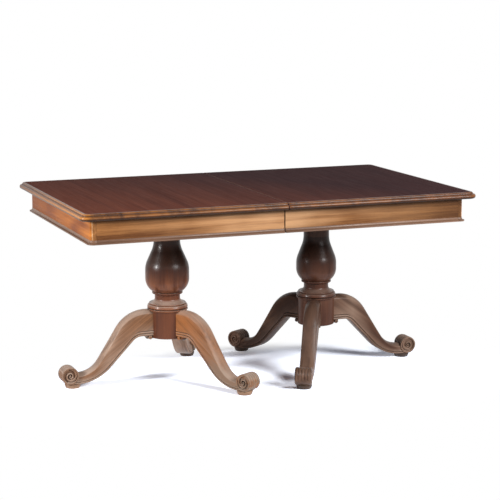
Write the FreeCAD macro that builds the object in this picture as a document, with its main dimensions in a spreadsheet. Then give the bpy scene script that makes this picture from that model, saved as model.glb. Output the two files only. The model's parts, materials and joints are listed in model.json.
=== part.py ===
import FreeCAD
import Part
import Sketcher
import math
import os
import re

# Extending dining table on two tripod pedestals.
# The origin lies on the floor under the middle of the closed table. X runs along the length,
# Y across it with the front at -Y, and Z up. One half is drawn along +X, where it is the right
# half; the left half is the same construction turned half round the Z axis.
# Legs are drawn along +X from their column's axis and then turned to their place.

SIZES = [
    # the table as a whole
    ("table_height", 760.0, "floor to upper face of the top"),
    ("table_width", 976.0, "nose to nose across the table"),
    ("half_length", 802.0, "one half, from its inner edge to the nose of its end"),
    ("rest_gap", 4.0, "gap between the two halves as they stand"),
    # top with a moulded edge: a half-round nose below, a set-back ovolo above
    ("top_thickness", 26.0, "thickness of the top"),
    ("nose_thickness", 18.5, "height of the half-round nose"),
    ("nose_flat", 0.3, "flat left between the two roundings of the nose"),
    ("top_ledge", 1.4, "level strip between the nose and the upper layer"),
    ("ovolo_fillet", 0.5, "upright strip left below the rounding of the upper layer"),
    ("top_corner_radius", 36.0, "plan rounding of the outer corners"),
    # frieze rails under the top and the moulding planted on their lower edge
    ("apron_setback", 45.0, "nose of the top to the face of the apron"),
    ("apron_depth", 92.0, "height of the apron"),
    ("apron_thickness", 22.0, "thickness of the apron"),
    ("apron_corner_radius", 14.0, "rounding of the apron's upright corners"),
    ("moulding_projection", 11.0, "how far the base moulding stands out"),
    ("moulding_lip", 5.0, "upright lip of the base moulding"),
    ("moulding_cove", 9.5, "hollow of the base moulding"),
    ("moulding_fillet", 0.6, "flat left above the hollow"),
    # glue blocks behind the rails
    ("block_size", 20.0, "side of a glue block"),
    ("block_length", 80.0, "length of a glue block"),
    ("block_first", 160.0, "inner edge of a half to its first glue block"),
    ("block_last", 135.0, "back of the end rail to the nearest glue block of a side rail"),
    ("end_block_spread", 195.0, "middle line of the table to a glue block of the end rail"),
    ("corner_block_side", 48.0, "side of a corner block"),
    ("corner_block_height", 70.0, "height of a corner block"),
    # pedestal head
    ("column_inset", 321.0, "inner edge of a half to the axis of its column"),
    ("batten_length", 420.0, "length of a batten under the top"),
    ("batten_width", 62.0, "width of a batten"),
    ("batten_thickness", 24.0, "thickness of a batten"),
    ("batten_offset", 105.0, "middle line of the table to the middle of a batten"),
    ("cap_side", 300.0, "side of the square cap block"),
    ("cap_thickness", 26.0, "thickness of the cap block"),
    ("cap_chamfer", 12.0, "chamfer of the cap block's lower edges"),
    ("tenon_radius", 30.0, "round tenon of the column in the cap block"),
    # turned column, listed from the hub upward
    ("hub_clearance", 175.5, "floor to the lower end of the hub"),
    ("hub_height", 109.5, "height of the hub that holds the legs"),
    ("hub_radius", 75.0, "radius of the hub"),
    ("hub_edge_round", 3.0, "rounding of the hub's lower edge"),
    ("collar_height", 6.5, "height of the thin collar on the hub"),
    ("collar_radius", 81.0, "radius of the collar"),
    ("collar_round", 1.5, "rounding of the collar"),
    ("quirk_height", 1.5, "height of the sunk line above and below the bead"),
    ("bead_height", 15.0, "height of the bead"),
    ("bead_radius", 82.5, "radius of the bead at its lower edge"),
    ("bead_crown", 78.0, "radius of the bead at its upper edge"),
    ("bead_depth", 10.5, "depth of the sunk line behind the bead"),
    ("bead_round", 5.0, "rounding of the bead"),
    ("bell_radius", 74.0, "radius at the foot of the bell"),
    ("bell_lip", 4.0, "height of the rounded lip of the bell"),
    ("bell_lip_round", 2.0, "rounding of the lip of the bell"),
    ("bell_hollow", 65.0, "radius where the hollow of the bell starts"),
    ("bell_height", 12.0, "height of the bell"),
    ("neck_radius", 50.5, "radius of the neck"),
    ("neck_height", 21.0, "height of the neck"),
    ("neck_round", 12.0, "hollow where the neck meets the bell"),
    ("ring_radius", 61.0, "radius of the ring under the bulb"),
    ("ring_rise", 4.5, "rise from the neck to the ring"),
    ("ring_height", 6.5, "height of the ring"),
    ("ring_round", 1.8, "rounding of the ring"),
    ("bulb_base_radius", 58.0, "radius where the bulb starts"),
    ("left_bulb_radius", 87.5, "largest radius of the left bulb"),
    ("right_bulb_radius", 82.5, "largest radius of the right bulb"),
    ("bulb_low", 25.0, "rise of the bulb's lower slope"),
    ("left_bulb_body", 82.0, "height of the left bulb's full part"),
    ("right_bulb_body", 63.0, "height of the right bulb's full part"),
    ("bulb_taper", 78.0, "height of the bulb's taper"),
    ("bulb_low_round", 62.0, "rounding at the foot of the bulb"),
    ("bulb_high_round", 95.0, "rounding at the shoulder of the bulb"),
    ("throat_radius", 52.5, "radius of the throat above the bulb"),
    ("throat_round", 40.0, "hollow where the taper meets the throat"),
    # leg, seen from the side: distances from the column's axis
    ("leg_reach", 396.0, "column axis to the middle of the foot pad"),
    ("leg_width", 59.0, "thickness of a leg"),
    ("leg_edge_round", 17.0, "rounding of a leg's upper edges"),
    ("leg_top_rise", 0.5, "upper face of a leg over the top of the collar"),
    ("leg_root_depth", 15.0, "how far the blank runs into the hub before it is scribed"),
    ("knee_reach", 173.5, "axis to the corner of the knee"),
    ("knee_round", 136.0, "rounding of the knee"),
    ("ankle_back", 81.0, "foot to the corner of the ankle"),
    ("ankle_height", 63.5, "height of the corner of the ankle"),
    ("ankle_round", 97.0, "hollow of the ankle"),
    ("heel_back", 95.0, "foot to the lower corner of the leg"),
    ("heel_round", 178.0, "rounding under the foot"),
    ("arch_reach", 138.0, "axis to the corner of the arch by the hub"),
    ("arch_rise", 11.5, "rise of the arch over the hub's lower end"),
    ("arch_round", 48.0, "hollow of the arch"),
    ("cusp_reach", 103.0, "axis to the cusp beside the hub"),
    ("cusp_slope", 10.0, "lean of the cusp's outer side"),
    ("cusp_round", 4.0, "rounding of the cusp"),
    ("dovetail_depth", 22.0, "depth of the leg's dovetail in the hub"),
    ("dovetail_neck", 26.0, "width of the dovetail at the hub's face"),
    ("dovetail_tail", 34.0, "width of the dovetail at its end"),
    ("dovetail_height", 100.0, "height of the dovetail"),
    ("dovetail_bond", 8.0, "how far the dovetail runs back into the leg"),
    ("socket_run", 5.0, "how far the cut of a socket runs out past the hub"),
    # scroll foot
    ("scroll_offset", 16.0, "foot pad to the middle of the scroll"),
    ("scroll_height", 52.0, "floor to the middle of the scroll"),
    ("scroll_radius", 34.5, "radius of the scroll"),
    ("scroll_width", 64.0, "width of the scroll"),
    ("instep_back", 23.0, "middle of the scroll back to where the ankle runs in"),
    ("instep_rise", 6.0, "rise of that point over the middle of the scroll"),
    ("toe_out", 15.0, "middle of the scroll out to where the seat runs in"),
    ("toe_drop", 20.0, "drop of that point below the middle of the scroll"),
    ("scroll_sink", 3.0, "depth of the sunk turn on the side of the scroll"),
    ("scroll_rim", 5.5, "width of the scroll's raised rim"),
    ("scroll_turn", 8.0, "width of the sunk turn"),
    ("eye_radius", 8.0, "radius of the eye of the scroll"),
    ("eye_rise", 2.5, "how far the eye stands out"),
    ("seat_half", 26.0, "middle of the pad to the outer end of the foot's seat"),
    # foot pad
    ("pad_height", 16.0, "height of a foot pad"),
    ("pad_top_radius", 31.5, "radius of a pad at its top"),
    ("pad_base_radius", 28.0, "radius of a pad on the floor"),
    ("pad_lip", 5.0, "upright band at the top of a pad"),
    ("pad_round", 1.7, "rounding of a pad's upper edge"),
    ("pad_recess", 6.0, "depth of the screw's recess in a pad"),
    # iron plate under the hub
    ("spider_thickness", 3.0, "thickness of the plate"),
    ("spider_radius", 46.0, "radius of the plate's middle"),
    ("spider_arm_reach", 92.0, "axis to the end of an arm"),
    ("spider_arm_width", 26.0, "width of an arm"),
    ("spider_arm_round", 8.6, "rounding of an arm's corners"),
    ("spider_leg_screw", 84.0, "axis to the screw into a leg"),
    ("spider_hub_screw", 34.0, "axis to the screw into the hub"),
    # screws and fits
    ("screw_radius", 2.5, "radius of a screw"),
    ("screw_head_radius", 5.0, "radius of a screw head"),
    ("screw_head_height", 3.0, "height of a screw head"),
    ("screw_grip", 16.0, "wood held under the head of a long screw"),
    ("screw_bite", 15.0, "wood held by the thread"),
    ("hole_extra", 1.0, "free depth at the end of a hole"),
    ("screw_clearance", 0.15, "space round a screw or a glued peg"),
    ("joint_clearance", 0.2, "space round a dovetail or a tenon"),
    ("batten_screw_spread", 150.0, "column axis to a screw of a batten"),
    ("cap_screw_spread", 115.0, "column axis to a screw of the cap block, along the table"),
    # wooden extension slides, three to a set
    ("slide_length", 720.0, "length of a slide"),
    ("slide_thickness", 28.0, "thickness of a slide"),
    ("slide_height", 50.0, "height of a slide"),
    ("slide_offset", 272.0, "middle line of the table to the middle slide"),
    ("slide_clearance", 0.4, "space between slides that run on each other"),
    ("groove_depth", 9.0, "depth of the dovetail groove"),
    ("groove_mouth", 14.0, "opening of the groove"),
    ("groove_flare", 3.0, "widening of the groove to each side"),
    ("key_length", 134.5, "length of a key; two keys meet at the end of the travel"),
    ("slide_screw_start", 60.0, "inner edge of a half to its first slide screw"),
    ("slide_screw_step", 115.0, "distance between slide screws"),
    ("slide_screw_shift", 4.0, "slide screws stand off the middle, away from the groove"),
    # pegs that line the halves up
    ("peg_radius", 5.0, "radius of a peg"),
    ("peg_hold", 28.0, "length of a peg glued in the left half"),
    ("peg_reach", 22.0, "length of a peg beyond the left half"),
    ("peg_spread", 330.0, "distance between pegs"),
    ("peg_clearance", 0.3, "space round a peg in its socket"),
    ("peg_socket_extra", 4.0, "free depth at the end of a socket"),
    # hooks that hold the halves together
    ("hook_offset", 130.0, "middle line of the table to a hook"),
    ("hook_inset", 35.0, "inner edge of the left half to a hook's pivot"),
    ("keeper_inset", 26.0, "inner edge of the right half to a keeper pin"),
    ("hook_thickness", 3.0, "thickness of a hook"),
    ("hook_width", 14.0, "width of a hook's arm"),
    ("hook_back", 5.0, "extra width behind the notch"),
    ("hook_heel", 9.0, "pivot to the round end of a hook"),
    ("hook_round", 4.5, "rounding of a hook's ends"),
    ("hook_tip_round", 2.8, "rounding of a hook's tip"),
    ("hook_slope", 22.0, "keeper pin back to where a hook widens"),
    ("hook_nose", 13.0, "keeper pin to the end of the hook"),
    ("hook_collar", 3.0, "height of the collar between the top and a hook"),
    ("hook_play", 0.12, "play of a hook between its collar and its head"),
    ("pivot_radius", 3.0, "radius of a hook's pivot"),
    ("pivot_clearance", 0.05, "space round the pivot"),
    ("pivot_head_radius", 7.5, "radius of the pivot's head and collar"),
    ("keeper_radius", 3.5, "radius of a keeper pin"),
    ("keeper_rim", 2.5, "how far a keeper's head stands out round its pin"),
    ("keeper_clearance", 1.0, "space round a keeper pin in the notch"),
    ("keeper_drop", 13.0, "length of a keeper pin under the top"),
    ("keeper_head", 2.5, "height of the keeper's head"),
    ("pin_bite", 14.0, "length of a pivot or keeper in the top"),
]

doc = FreeCAD.newDocument("pedestal_table")
sheet = doc.addObject("Spreadsheet::Sheet", "Sizes")
for row, (alias, size, meaning) in enumerate(SIZES, start=1):
    sheet.set(f"A{row}", meaning)
    sheet.set(f"B{row}", str(size))
    sheet.setAlias(f"B{row}", alias)
doc.recompute()

ALIASES = {alias for alias, size, meaning in SIZES}
NODES = []

# Heights and distances that follow from the sizes.
UNDERSIDE = "(table_height - top_thickness)"
APRON_FOOT = f"({UNDERSIDE} - apron_depth)"
INNER = "(rest_gap / 2)"
END = f"({INNER} + half_length)"
SIDE = "(table_width / 2)"
APRON_END = f"({END} - apron_setback)"
APRON_SIDE = f"({SIDE} - apron_setback)"
APRON_END_BACK = f"({APRON_END} - apron_thickness)"
APRON_SIDE_BACK = f"({APRON_SIDE} - apron_thickness)"
AXIS = f"({INNER} + column_inset)"
BATTEN_FOOT = f"({UNDERSIDE} - batten_thickness)"
CAP_FOOT = f"({BATTEN_FOOT} - cap_thickness)"
HUB_TOP = "(hub_clearance + hub_height)"
COLLAR_TOP = f"({HUB_TOP} + collar_height)"
BEAD_FOOT = f"({COLLAR_TOP} + quirk_height)"
BEAD_TOP = f"({BEAD_FOOT} + bead_height)"
BEAD_ROOT = "(bead_radius - bead_depth)"
BELL_FOOT = f"({BEAD_TOP} + quirk_height)"
BELL_LIP = f"({BELL_FOOT} + bell_lip)"
BELL_TOP = f"({BELL_LIP} + bell_height)"
RING_FOOT = f"({BELL_TOP} + neck_height + ring_rise)"
RING_TOP = f"({RING_FOOT} + ring_height)"
BULB_LOW = f"({RING_TOP} + bulb_low)"
SPIDER_FOOT = "(hub_clearance - spider_thickness)"
SLIDE_TOP = f"({UNDERSIDE} - slide_clearance)"
SLIDE_FOOT = f"({SLIDE_TOP} - slide_height)"
SLIDE_MIDDLE = f"({SLIDE_TOP} - slide_height / 2)"
SLIDE_PITCH = "(slide_thickness + slide_clearance)"
LONG_SEAT = f"({UNDERSIDE} - screw_grip)"
CAP_SEAT = f"({BATTEN_FOOT} - screw_grip)"
PEG_LEVEL = f"({UNDERSIDE} + top_thickness / 2)"
PEG_PLACES = ["-peg_spread", "0", "peg_spread"]
HOOK_SPAN = "(rest_gap + hook_inset + keeper_inset)"
HOOK_TOP = f"({UNDERSIDE} - hook_collar - hook_play)"
HOOK_HEAD = f"({HOOK_TOP} - hook_thickness - hook_play)"
HOLE_DEPTH = "(screw_bite + hole_extra)"
SHANK_HOLE = "(screw_radius + screw_clearance)"
HEAD_HOLE = "(screw_head_radius + screw_clearance)"
LEG_ANGLES = {"right": {"outer": 0, "back": 120, "front": 240},
              "left": {"outer": 180, "back": 60, "front": 300}}
NEAR = 0.01
LEAST_CUT = 0.5


def cells(formula):
    """The formula with every size name turned into its cell of the sheet."""
    def cell(word):
        return f"Sizes.{word[0]}" if word[0] in ALIASES else word[0]
    return re.sub(r"[a-z_]+", cell, formula)


def value(formula):
    """The formula worked out from the sheet."""
    return float(sheet.evalExpression(cells(formula)))


def bind(thing, path, formula):
    """Tie one property to the sheet."""
    thing.setExpression(path, cells(formula))


def node(thing, label):
    """Name a finished piece and keep it for the hand-over."""
    thing.Label = label
    NODES.append(thing)
    return thing


def turn_half(thing, side):
    """Turn a piece drawn in the right half to its own half."""
    turn = 180 if side == "left" else 0
    thing.Placement = FreeCAD.Placement(FreeCAD.Vector(), FreeCAD.Rotation(FreeCAD.Vector(0, 0, 1), turn))


def stand_at_column(thing, side, turn):
    """Set a piece drawn about the Z axis on the axis of its column."""
    thing.Placement = FreeCAD.Placement(FreeCAD.Vector(), FreeCAD.Rotation(FreeCAD.Vector(0, 0, 1), turn))
    bind(thing, "Placement.Base.x", AXIS if side == "right" else f"-{AXIS}")


def new_body(label):
    """An empty body."""
    return doc.addObject("PartDesign::Body", label)


def new_sketch(body, plane, offset=None):
    """A sketch on one of the body's own planes, moved along the plane's normal."""
    sketch = body.newObject("Sketcher::SketchObject", f"{body.Name}_sketch")
    support = next(part for part in body.Origin.OriginFeatures if part.Role == plane)
    sketch.AttachmentSupport = (support, [""])
    sketch.MapMode = "FlatFace"
    if offset is not None:
        bind(sketch, "AttachmentOffset.Base.z", offset)
    return sketch


def outline(sketch, corners):
    """Draw a closed outline. A corner is (x, y) or (x, y, rounding), each written as a formula.

    Returns the middle of every line and rounding, keyed by kind and corner number.
    """
    count = len(corners)
    points = [FreeCAD.Vector(value(corner[0]), value(corner[1]), 0) for corner in corners]
    rounds = [corner[2] if len(corner) > 2 else None for corner in corners]
    arrive, leave, arcs, middles = list(points), list(points), {}, {}
    for index in range(count):
        if rounds[index] is None:
            continue
        here = points[index]
        back = (points[index - 1] - here).normalize()
        onward = (points[(index + 1) % count] - here).normalize()
        half = back.getAngle(onward) / 2
        radius = value(rounds[index])
        arrive[index] = here + back * (radius / math.tan(half))
        leave[index] = here + onward * (radius / math.tan(half))
        inward = (back + onward).normalize()
        centre = here + inward * (radius / math.sin(half))
        left_turn = back.cross(onward).z < 0
        first, last = (arrive[index], leave[index]) if left_turn else (leave[index], arrive[index])
        start = math.atan2(first.y - centre.y, first.x - centre.x)
        stop = math.atan2(last.y - centre.y, last.x - centre.x)
        stop += 2 * math.pi if stop < start else 0
        ring = Part.Circle(centre, FreeCAD.Vector(0, 0, 1), radius)
        arcs[index] = (Part.ArcOfCircle(ring, start, stop), 1 if left_turn else 2)
        middles["round", index] = centre - inward * radius
    base = sketch.GeometryCount
    for index in range(count):
        after = arrive[(index + 1) % count]
        sketch.addGeometry(Part.LineSegment(leave[index], after), False)
        middles["line", index] = (leave[index] + after) / 2
    rules, ties = [], []
    first_rule = sketch.ConstraintCount

    def tie(kind, *terms):
        ties.append((first_rule + len(rules), terms[-1]))
        rules.append(Sketcher.Constraint(kind, *terms[:-1], value(terms[-1])))

    for index in range(count):
        before, after = base + (index - 1) % count, base + index
        if index not in arcs:
            rules.append(Sketcher.Constraint("Coincident", before, 2, after, 1))
            tie("DistanceX", after, 1, corners[index][0])
            tie("DistanceY", after, 1, corners[index][1])
            continue
        arc = sketch.addGeometry(arcs[index][0], False)
        corner = sketch.addGeometry(Part.Point(points[index]), True)
        begin = arcs[index][1]
        tie("DistanceX", corner, 1, corners[index][0])
        tie("DistanceY", corner, 1, corners[index][1])
        rules.append(Sketcher.Constraint("PointOnObject", corner, 1, before))
        rules.append(Sketcher.Constraint("PointOnObject", corner, 1, after))
        rules.append(Sketcher.Constraint("Tangent", before, 2, arc, begin))
        rules.append(Sketcher.Constraint("Tangent", arc, 3 - begin, after, 1))
        tie("Radius", arc, rounds[index])
    sketch.addConstraint(rules)
    for number, formula in ties:
        bind(sketch, f"Constraints[{number}]", formula)
    return middles


def rectangle(sketch, left, low, right, high):
    """Draw a rectangle between two corners."""
    return outline(sketch, [(left, low), (right, low), (right, high), (left, high)])


def circle(sketch, x, y, radius):
    """Draw a circle."""
    centre = FreeCAD.Vector(value(x), value(y), 0)
    ring = sketch.addGeometry(Part.Circle(centre, FreeCAD.Vector(0, 0, 1), value(radius)), False)
    first_rule = sketch.ConstraintCount
    sketch.addConstraint([Sketcher.Constraint("DistanceX", ring, 3, centre.x),
                          Sketcher.Constraint("DistanceY", ring, 3, centre.y),
                          Sketcher.Constraint("Radius", ring, value(radius))])
    for step, formula in enumerate((x, y, radius)):
        bind(sketch, f"Constraints[{first_rule + step}]", formula)


def pad(body, sketch, length, symmetric=False):
    """Pad a sketch along its normal, or to both sides of it."""
    feature = body.newObject("PartDesign::Pad", f"{body.Name}_pad")
    feature.Profile = sketch
    bind(feature, "Length", length)
    if symmetric:
        feature.SideType = "Symmetric"
    doc.recompute()
    return feature


def pocket(body, sketch, depth, symmetric=False):
    """Cut a sketch into the body along its normal, or to both sides of it."""
    whole = body.Shape.Volume
    feature = body.newObject("PartDesign::Pocket", f"{body.Name}_pocket")
    feature.Profile = sketch
    feature.Reversed = True
    bind(feature, "Length", depth)
    if symmetric:
        feature.SideType = "Symmetric"
    doc.recompute()
    if feature.Shape.Volume > whole - LEAST_CUT:
        raise RuntimeError(f"a pocket of {body.Name} cuts nothing")
    return feature


def revolve(body, sketch):
    """Turn a sketch on the XZ plane round the Z axis."""
    feature = body.newObject("PartDesign::Revolution", f"{body.Name}_turning")
    feature.Profile = sketch
    feature.ReferenceAxis = (sketch, ["V_Axis"])
    feature.Angle = 360
    doc.recompute()
    return feature


def three_round(body, feature, sketch):
    """Repeat a feature three times round the Z axis."""
    pattern = body.newObject("PartDesign::PolarPattern", f"{body.Name}_pattern")
    pattern.Originals = [feature]
    pattern.Axis = (sketch, ["N_Axis"])
    pattern.Angle = 360
    pattern.Occurrences = 3
    body.Tip = pattern
    doc.recompute()
    return pattern


def dress(body, kind, feature, names, prop, size):
    """Fillet or chamfer the named edges of a feature."""
    dressing = body.newObject(f"PartDesign::{kind}", f"{body.Name}_{kind}")
    dressing.Base = (feature, names)
    bind(dressing, prop, size)
    doc.recompute()
    return dressing


def level_edges(feature, height, keep):
    """Names of the feature's level edges at one height that pass a test."""
    names = []
    for number, edge in enumerate(feature.Shape.Edges, start=1):
        box = edge.BoundBox
        if max(abs(box.ZMin - height), abs(box.ZMax - height)) < NEAR and keep(edge):
            names.append(f"Edge{number}")
    return names


def block(x, y, z, length, width, height):
    """A plain box from its lowest corner."""
    box = doc.addObject("Part::Box", "block")
    for path, formula in (("Placement.Base.x", x), ("Placement.Base.y", y), ("Placement.Base.z", z),
                          ("Length", length), ("Width", width), ("Height", height)):
        bind(box, path, formula)
    return box


def rod(x, y, z, radius, height):
    """An upright cylinder from the middle of its lower end."""
    cylinder = doc.addObject("Part::Cylinder", "rod")
    for path, formula in (("Placement.Base.x", x), ("Placement.Base.y", y), ("Placement.Base.z", z),
                          ("Radius", radius), ("Height", height)):
        bind(cylinder, path, formula)
    return cylinder


def join(pieces):
    """One solid from pieces that meet."""
    union = doc.addObject("Part::MultiFuse", "joined")
    union.Shapes = pieces
    return union


def group(label, pieces):
    """Several like pieces in one node."""
    bunch = doc.addObject("Part::Compound", label)
    bunch.Links = pieces
    return node(bunch, label)


def screw(x, y, seat, length):
    """A screw driven upward, its round head below the seat."""
    head = rod(x, y, f"({seat}) - screw_head_height", "screw_head_radius", "screw_head_height")
    shank = rod(x, y, seat, "screw_radius", length)
    return join([head, shank])


def screw_holes(body, foot, places, depth, radius=SHANK_HOLE):
    """Upright round holes cut upward from a level."""
    sketch = new_sketch(body, "XY_Plane", foot)
    for x, y in places:
        circle(sketch, x, y, radius)
    return pocket(body, sketch, depth)


def slide_screws(side):
    """Places of the screws that hold a half's own slides, in the frame of the right half."""
    away = "-" if side == "left" else "+"
    row = f"(slide_offset {away} {SLIDE_PITCH} {away} slide_screw_shift)"
    steps = [f"({INNER} + slide_screw_start + {step} * slide_screw_step)" for step in range(3)]
    return [(x, f"{sign}{row}") for sign in ("", "-") for x in steps]


def batten_screws():
    """Places of the screws through the battens into the top."""
    ends = [f"({AXIS} - batten_screw_spread)", f"({AXIS} + batten_screw_spread)"]
    return [(x, f"{sign}batten_offset") for sign in ("", "-") for x in ends]


def cap_screws():
    """Places of the screws through the cap block into the battens."""
    ends = [f"({AXIS} - cap_screw_spread)", f"({AXIS} + cap_screw_spread)"]
    return [(x, f"{sign}batten_offset") for sign in ("", "-") for x in ends]


def make_top(side):
    """Half of the top: a half-round nose with a set-back ovolo on three sides."""
    body = node(new_body(f"{side}_top"), f"{side}_top")

    def outer(edge):
        return edge.CenterOfMass.x > value(INNER) + NEAR

    nose = new_sketch(body, "XY_Plane", UNDERSIDE)
    outline(nose, [(INNER, f"-{SIDE}"), (END, f"-{SIDE}", "top_corner_radius"),
                   (END, SIDE, "top_corner_radius"), (INNER, SIDE)])
    slab = pad(body, nose, "nose_thickness")
    rims = level_edges(slab, value(UNDERSIDE), outer)
    rims += level_edges(slab, value(f"{UNDERSIDE} + nose_thickness"), outer)
    nose_round = "(nose_thickness - nose_flat) / 2"
    dress(body, "Fillet", slab, rims, "Radius", nose_round)
    upper = new_sketch(body, "XY_Plane", f"{UNDERSIDE} + nose_thickness")
    step = f"({nose_round} + top_ledge)"
    inner_round = f"(top_corner_radius - {step})"
    step_end, step_side = f"({END} - {step})", f"({SIDE} - {step})"
    outline(upper, [(INNER, f"-{step_side}"), (step_end, f"-{step_side}", inner_round),
                    (step_end, step_side, inner_round), (INNER, step_side)])
    layer = pad(body, upper, "top_thickness - nose_thickness")
    rims = level_edges(layer, value("table_height"), outer)
    dress(body, "Fillet", layer, rims, "Radius", "top_thickness - nose_thickness - ovolo_fillet")
    edge_holes = new_sketch(body, "YZ_Plane", INNER)
    for place in PEG_PLACES:
        gap = "screw_clearance" if side == "left" else "peg_clearance"
        circle(edge_holes, place, PEG_LEVEL, f"peg_radius + {gap}")
    pocket(body, edge_holes, "peg_hold" if side == "left" else "peg_reach - rest_gap + peg_socket_extra")
    screw_holes(body, UNDERSIDE, batten_screws() + slide_screws(side), HOLE_DEPTH)
    inset, radius = ("hook_inset", "pivot_radius") if side == "left" else ("keeper_inset", "keeper_radius")
    screw_holes(body, UNDERSIDE, [(f"{INNER} + {inset}", f"{sign}hook_offset") for sign in ("", "-")],
                "pin_bite + hole_extra", f"{radius} + screw_clearance")
    turn_half(body, side)


def moulding_profile(sketch):
    """Section of the base moulding on the front rail: a lip below a hollow."""
    lip, crest = f"({APRON_FOOT} + moulding_lip)", f"({APRON_FOOT} + moulding_lip + moulding_projection)"
    face, flat = f"-{APRON_SIDE}", f"-{APRON_SIDE} - moulding_fillet"
    outer = f"-{APRON_SIDE} - moulding_projection"
    outline(sketch, [(face, APRON_FOOT), (face, crest), (flat, crest), (flat, lip, "moulding_cove"),
                     (outer, lip), (outer, APRON_FOOT)])


def make_frieze(side):
    """The three rails of a half, their base mouldings and the glue blocks behind them."""
    names = ("front", "back") if side == "right" else ("back", "front")
    rail_length = f"{APRON_END_BACK} - {INNER}"
    for name, low in ((names[0], f"-{APRON_SIDE}"), (names[1], APRON_SIDE_BACK)):
        rail = node(new_body(f"{side}_{name}_apron"), f"{side}_{name}_apron")
        sketch = new_sketch(rail, "XY_Plane", APRON_FOOT)
        rectangle(sketch, INNER, low, APRON_END_BACK, f"{low} + apron_thickness")
        pad(rail, sketch, "apron_depth")
        turn_half(rail, side)
    end = node(new_body(f"{side}_end_apron"), f"{side}_end_apron")
    sketch = new_sketch(end, "XY_Plane", APRON_FOOT)
    outline(sketch, [(APRON_END_BACK, f"-{APRON_SIDE}"), (APRON_END, f"-{APRON_SIDE}", "apron_corner_radius"),
                     (APRON_END, APRON_SIDE, "apron_corner_radius"), (APRON_END_BACK, APRON_SIDE)])
    pad(end, sketch, "apron_depth")
    turn_half(end, side)
    for name, flip in ((names[0], 0), (names[1], 180)):
        strip = node(new_body(f"{side}_{name}_moulding"), f"{side}_{name}_moulding")
        sketch = new_sketch(strip, "YZ_Plane", INNER if flip == 0 else f"-{APRON_END_BACK}")
        moulding_profile(sketch)
        pad(strip, sketch, rail_length)
        turn = flip + (180 if side == "left" else 0)
        strip.Placement.Rotation = FreeCAD.Rotation(FreeCAD.Vector(0, 0, 1), turn)
    wrap = node(new_body(f"{side}_end_moulding"), f"{side}_end_moulding")
    path = new_sketch(wrap, "XY_Plane", APRON_FOOT)
    line_of_path(path)
    profile = new_sketch(wrap, "YZ_Plane", APRON_END_BACK)
    moulding_profile(profile)
    sweep = wrap.newObject("PartDesign::AdditivePipe", f"{wrap.Name}_sweep")
    sweep.Profile = profile
    sweep.Spine = (path, [f"Edge{number}" for number in range(1, 6)])
    doc.recompute()
    turn_half(wrap, side)
    make_glue_blocks(side)


def line_of_path(sketch):
    """Open path along the end rail's face, with its two rounded corners and short returns."""
    turn = value("apron_corner_radius")
    end, edge, start = value(APRON_END), value(APRON_SIDE), value(APRON_END_BACK)
    point = FreeCAD.Vector
    up = point(0, 0, 1)
    low = Part.Circle(point(end - turn, turn - edge, 0), up, turn)
    high = Part.Circle(point(end - turn, edge - turn, 0), up, turn)
    sketch.addGeometry([Part.LineSegment(point(start, -edge, 0), point(end - turn, -edge, 0)),
                        Part.ArcOfCircle(low, -math.pi / 2, 0),
                        Part.LineSegment(point(end, turn - edge, 0), point(end, edge - turn, 0)),
                        Part.ArcOfCircle(high, 0, math.pi / 2),
                        Part.LineSegment(point(end - turn, edge, 0), point(start, edge, 0))], False)
    rules = [Sketcher.Constraint("Tangent", number, 2, number + 1, 1) for number in range(4)]
    rules += [Sketcher.Constraint("Horizontal", 0), Sketcher.Constraint("Equal", 1, 3)]
    first_tie = len(rules)
    ties = [(("DistanceX", 0, 1), APRON_END_BACK), (("DistanceY", 0, 1), f"-{APRON_SIDE}"),
            (("DistanceX", 2, 1), APRON_END), (("Radius", 1), "apron_corner_radius"),
            (("DistanceX", 4, 2), APRON_END_BACK), (("DistanceY", 4, 2), APRON_SIDE)]
    rules += [Sketcher.Constraint(*terms, value(formula)) for terms, formula in ties]
    sketch.addConstraint(rules)
    for step, (terms, formula) in enumerate(ties):
        bind(sketch, f"Constraints[{first_tie + step}]", formula)


def make_glue_blocks(side):
    """Blocks glued in the angles between the rails and the top, and two corner blocks."""
    level = f"{UNDERSIDE} - block_size"
    pieces = []
    for middle in (f"{INNER} + block_first", f"{APRON_END_BACK} - block_last"):
        start = f"{middle} - block_length / 2"
        for low in (f"-{APRON_SIDE_BACK}", f"{APRON_SIDE_BACK} - block_size"):
            pieces.append(block(start, low, level, "block_length", "block_size", "block_size"))
    for sign in ("", "-"):
        low = f"{sign}end_block_spread - block_length / 2"
        start = f"{APRON_END_BACK} - block_size"
        pieces.append(block(start, low, level, "block_size", "block_length", "block_size"))
    for sign in ("", "-"):
        prism = new_body(f"{side}_corner_block")
        sketch = new_sketch(prism, "XY_Plane", f"{UNDERSIDE} - corner_block_height")
        corner = f"{sign}{APRON_SIDE_BACK}"
        outline(sketch, [(APRON_END_BACK, corner), (f"{APRON_END_BACK} - corner_block_side", corner),
                         (APRON_END_BACK, f"{sign}({APRON_SIDE_BACK} - corner_block_side)")])
        pad(prism, sketch, "corner_block_height")
        pieces.append(prism)
    turn_half(group(f"{side}_glue_blocks", pieces), side)


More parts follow.
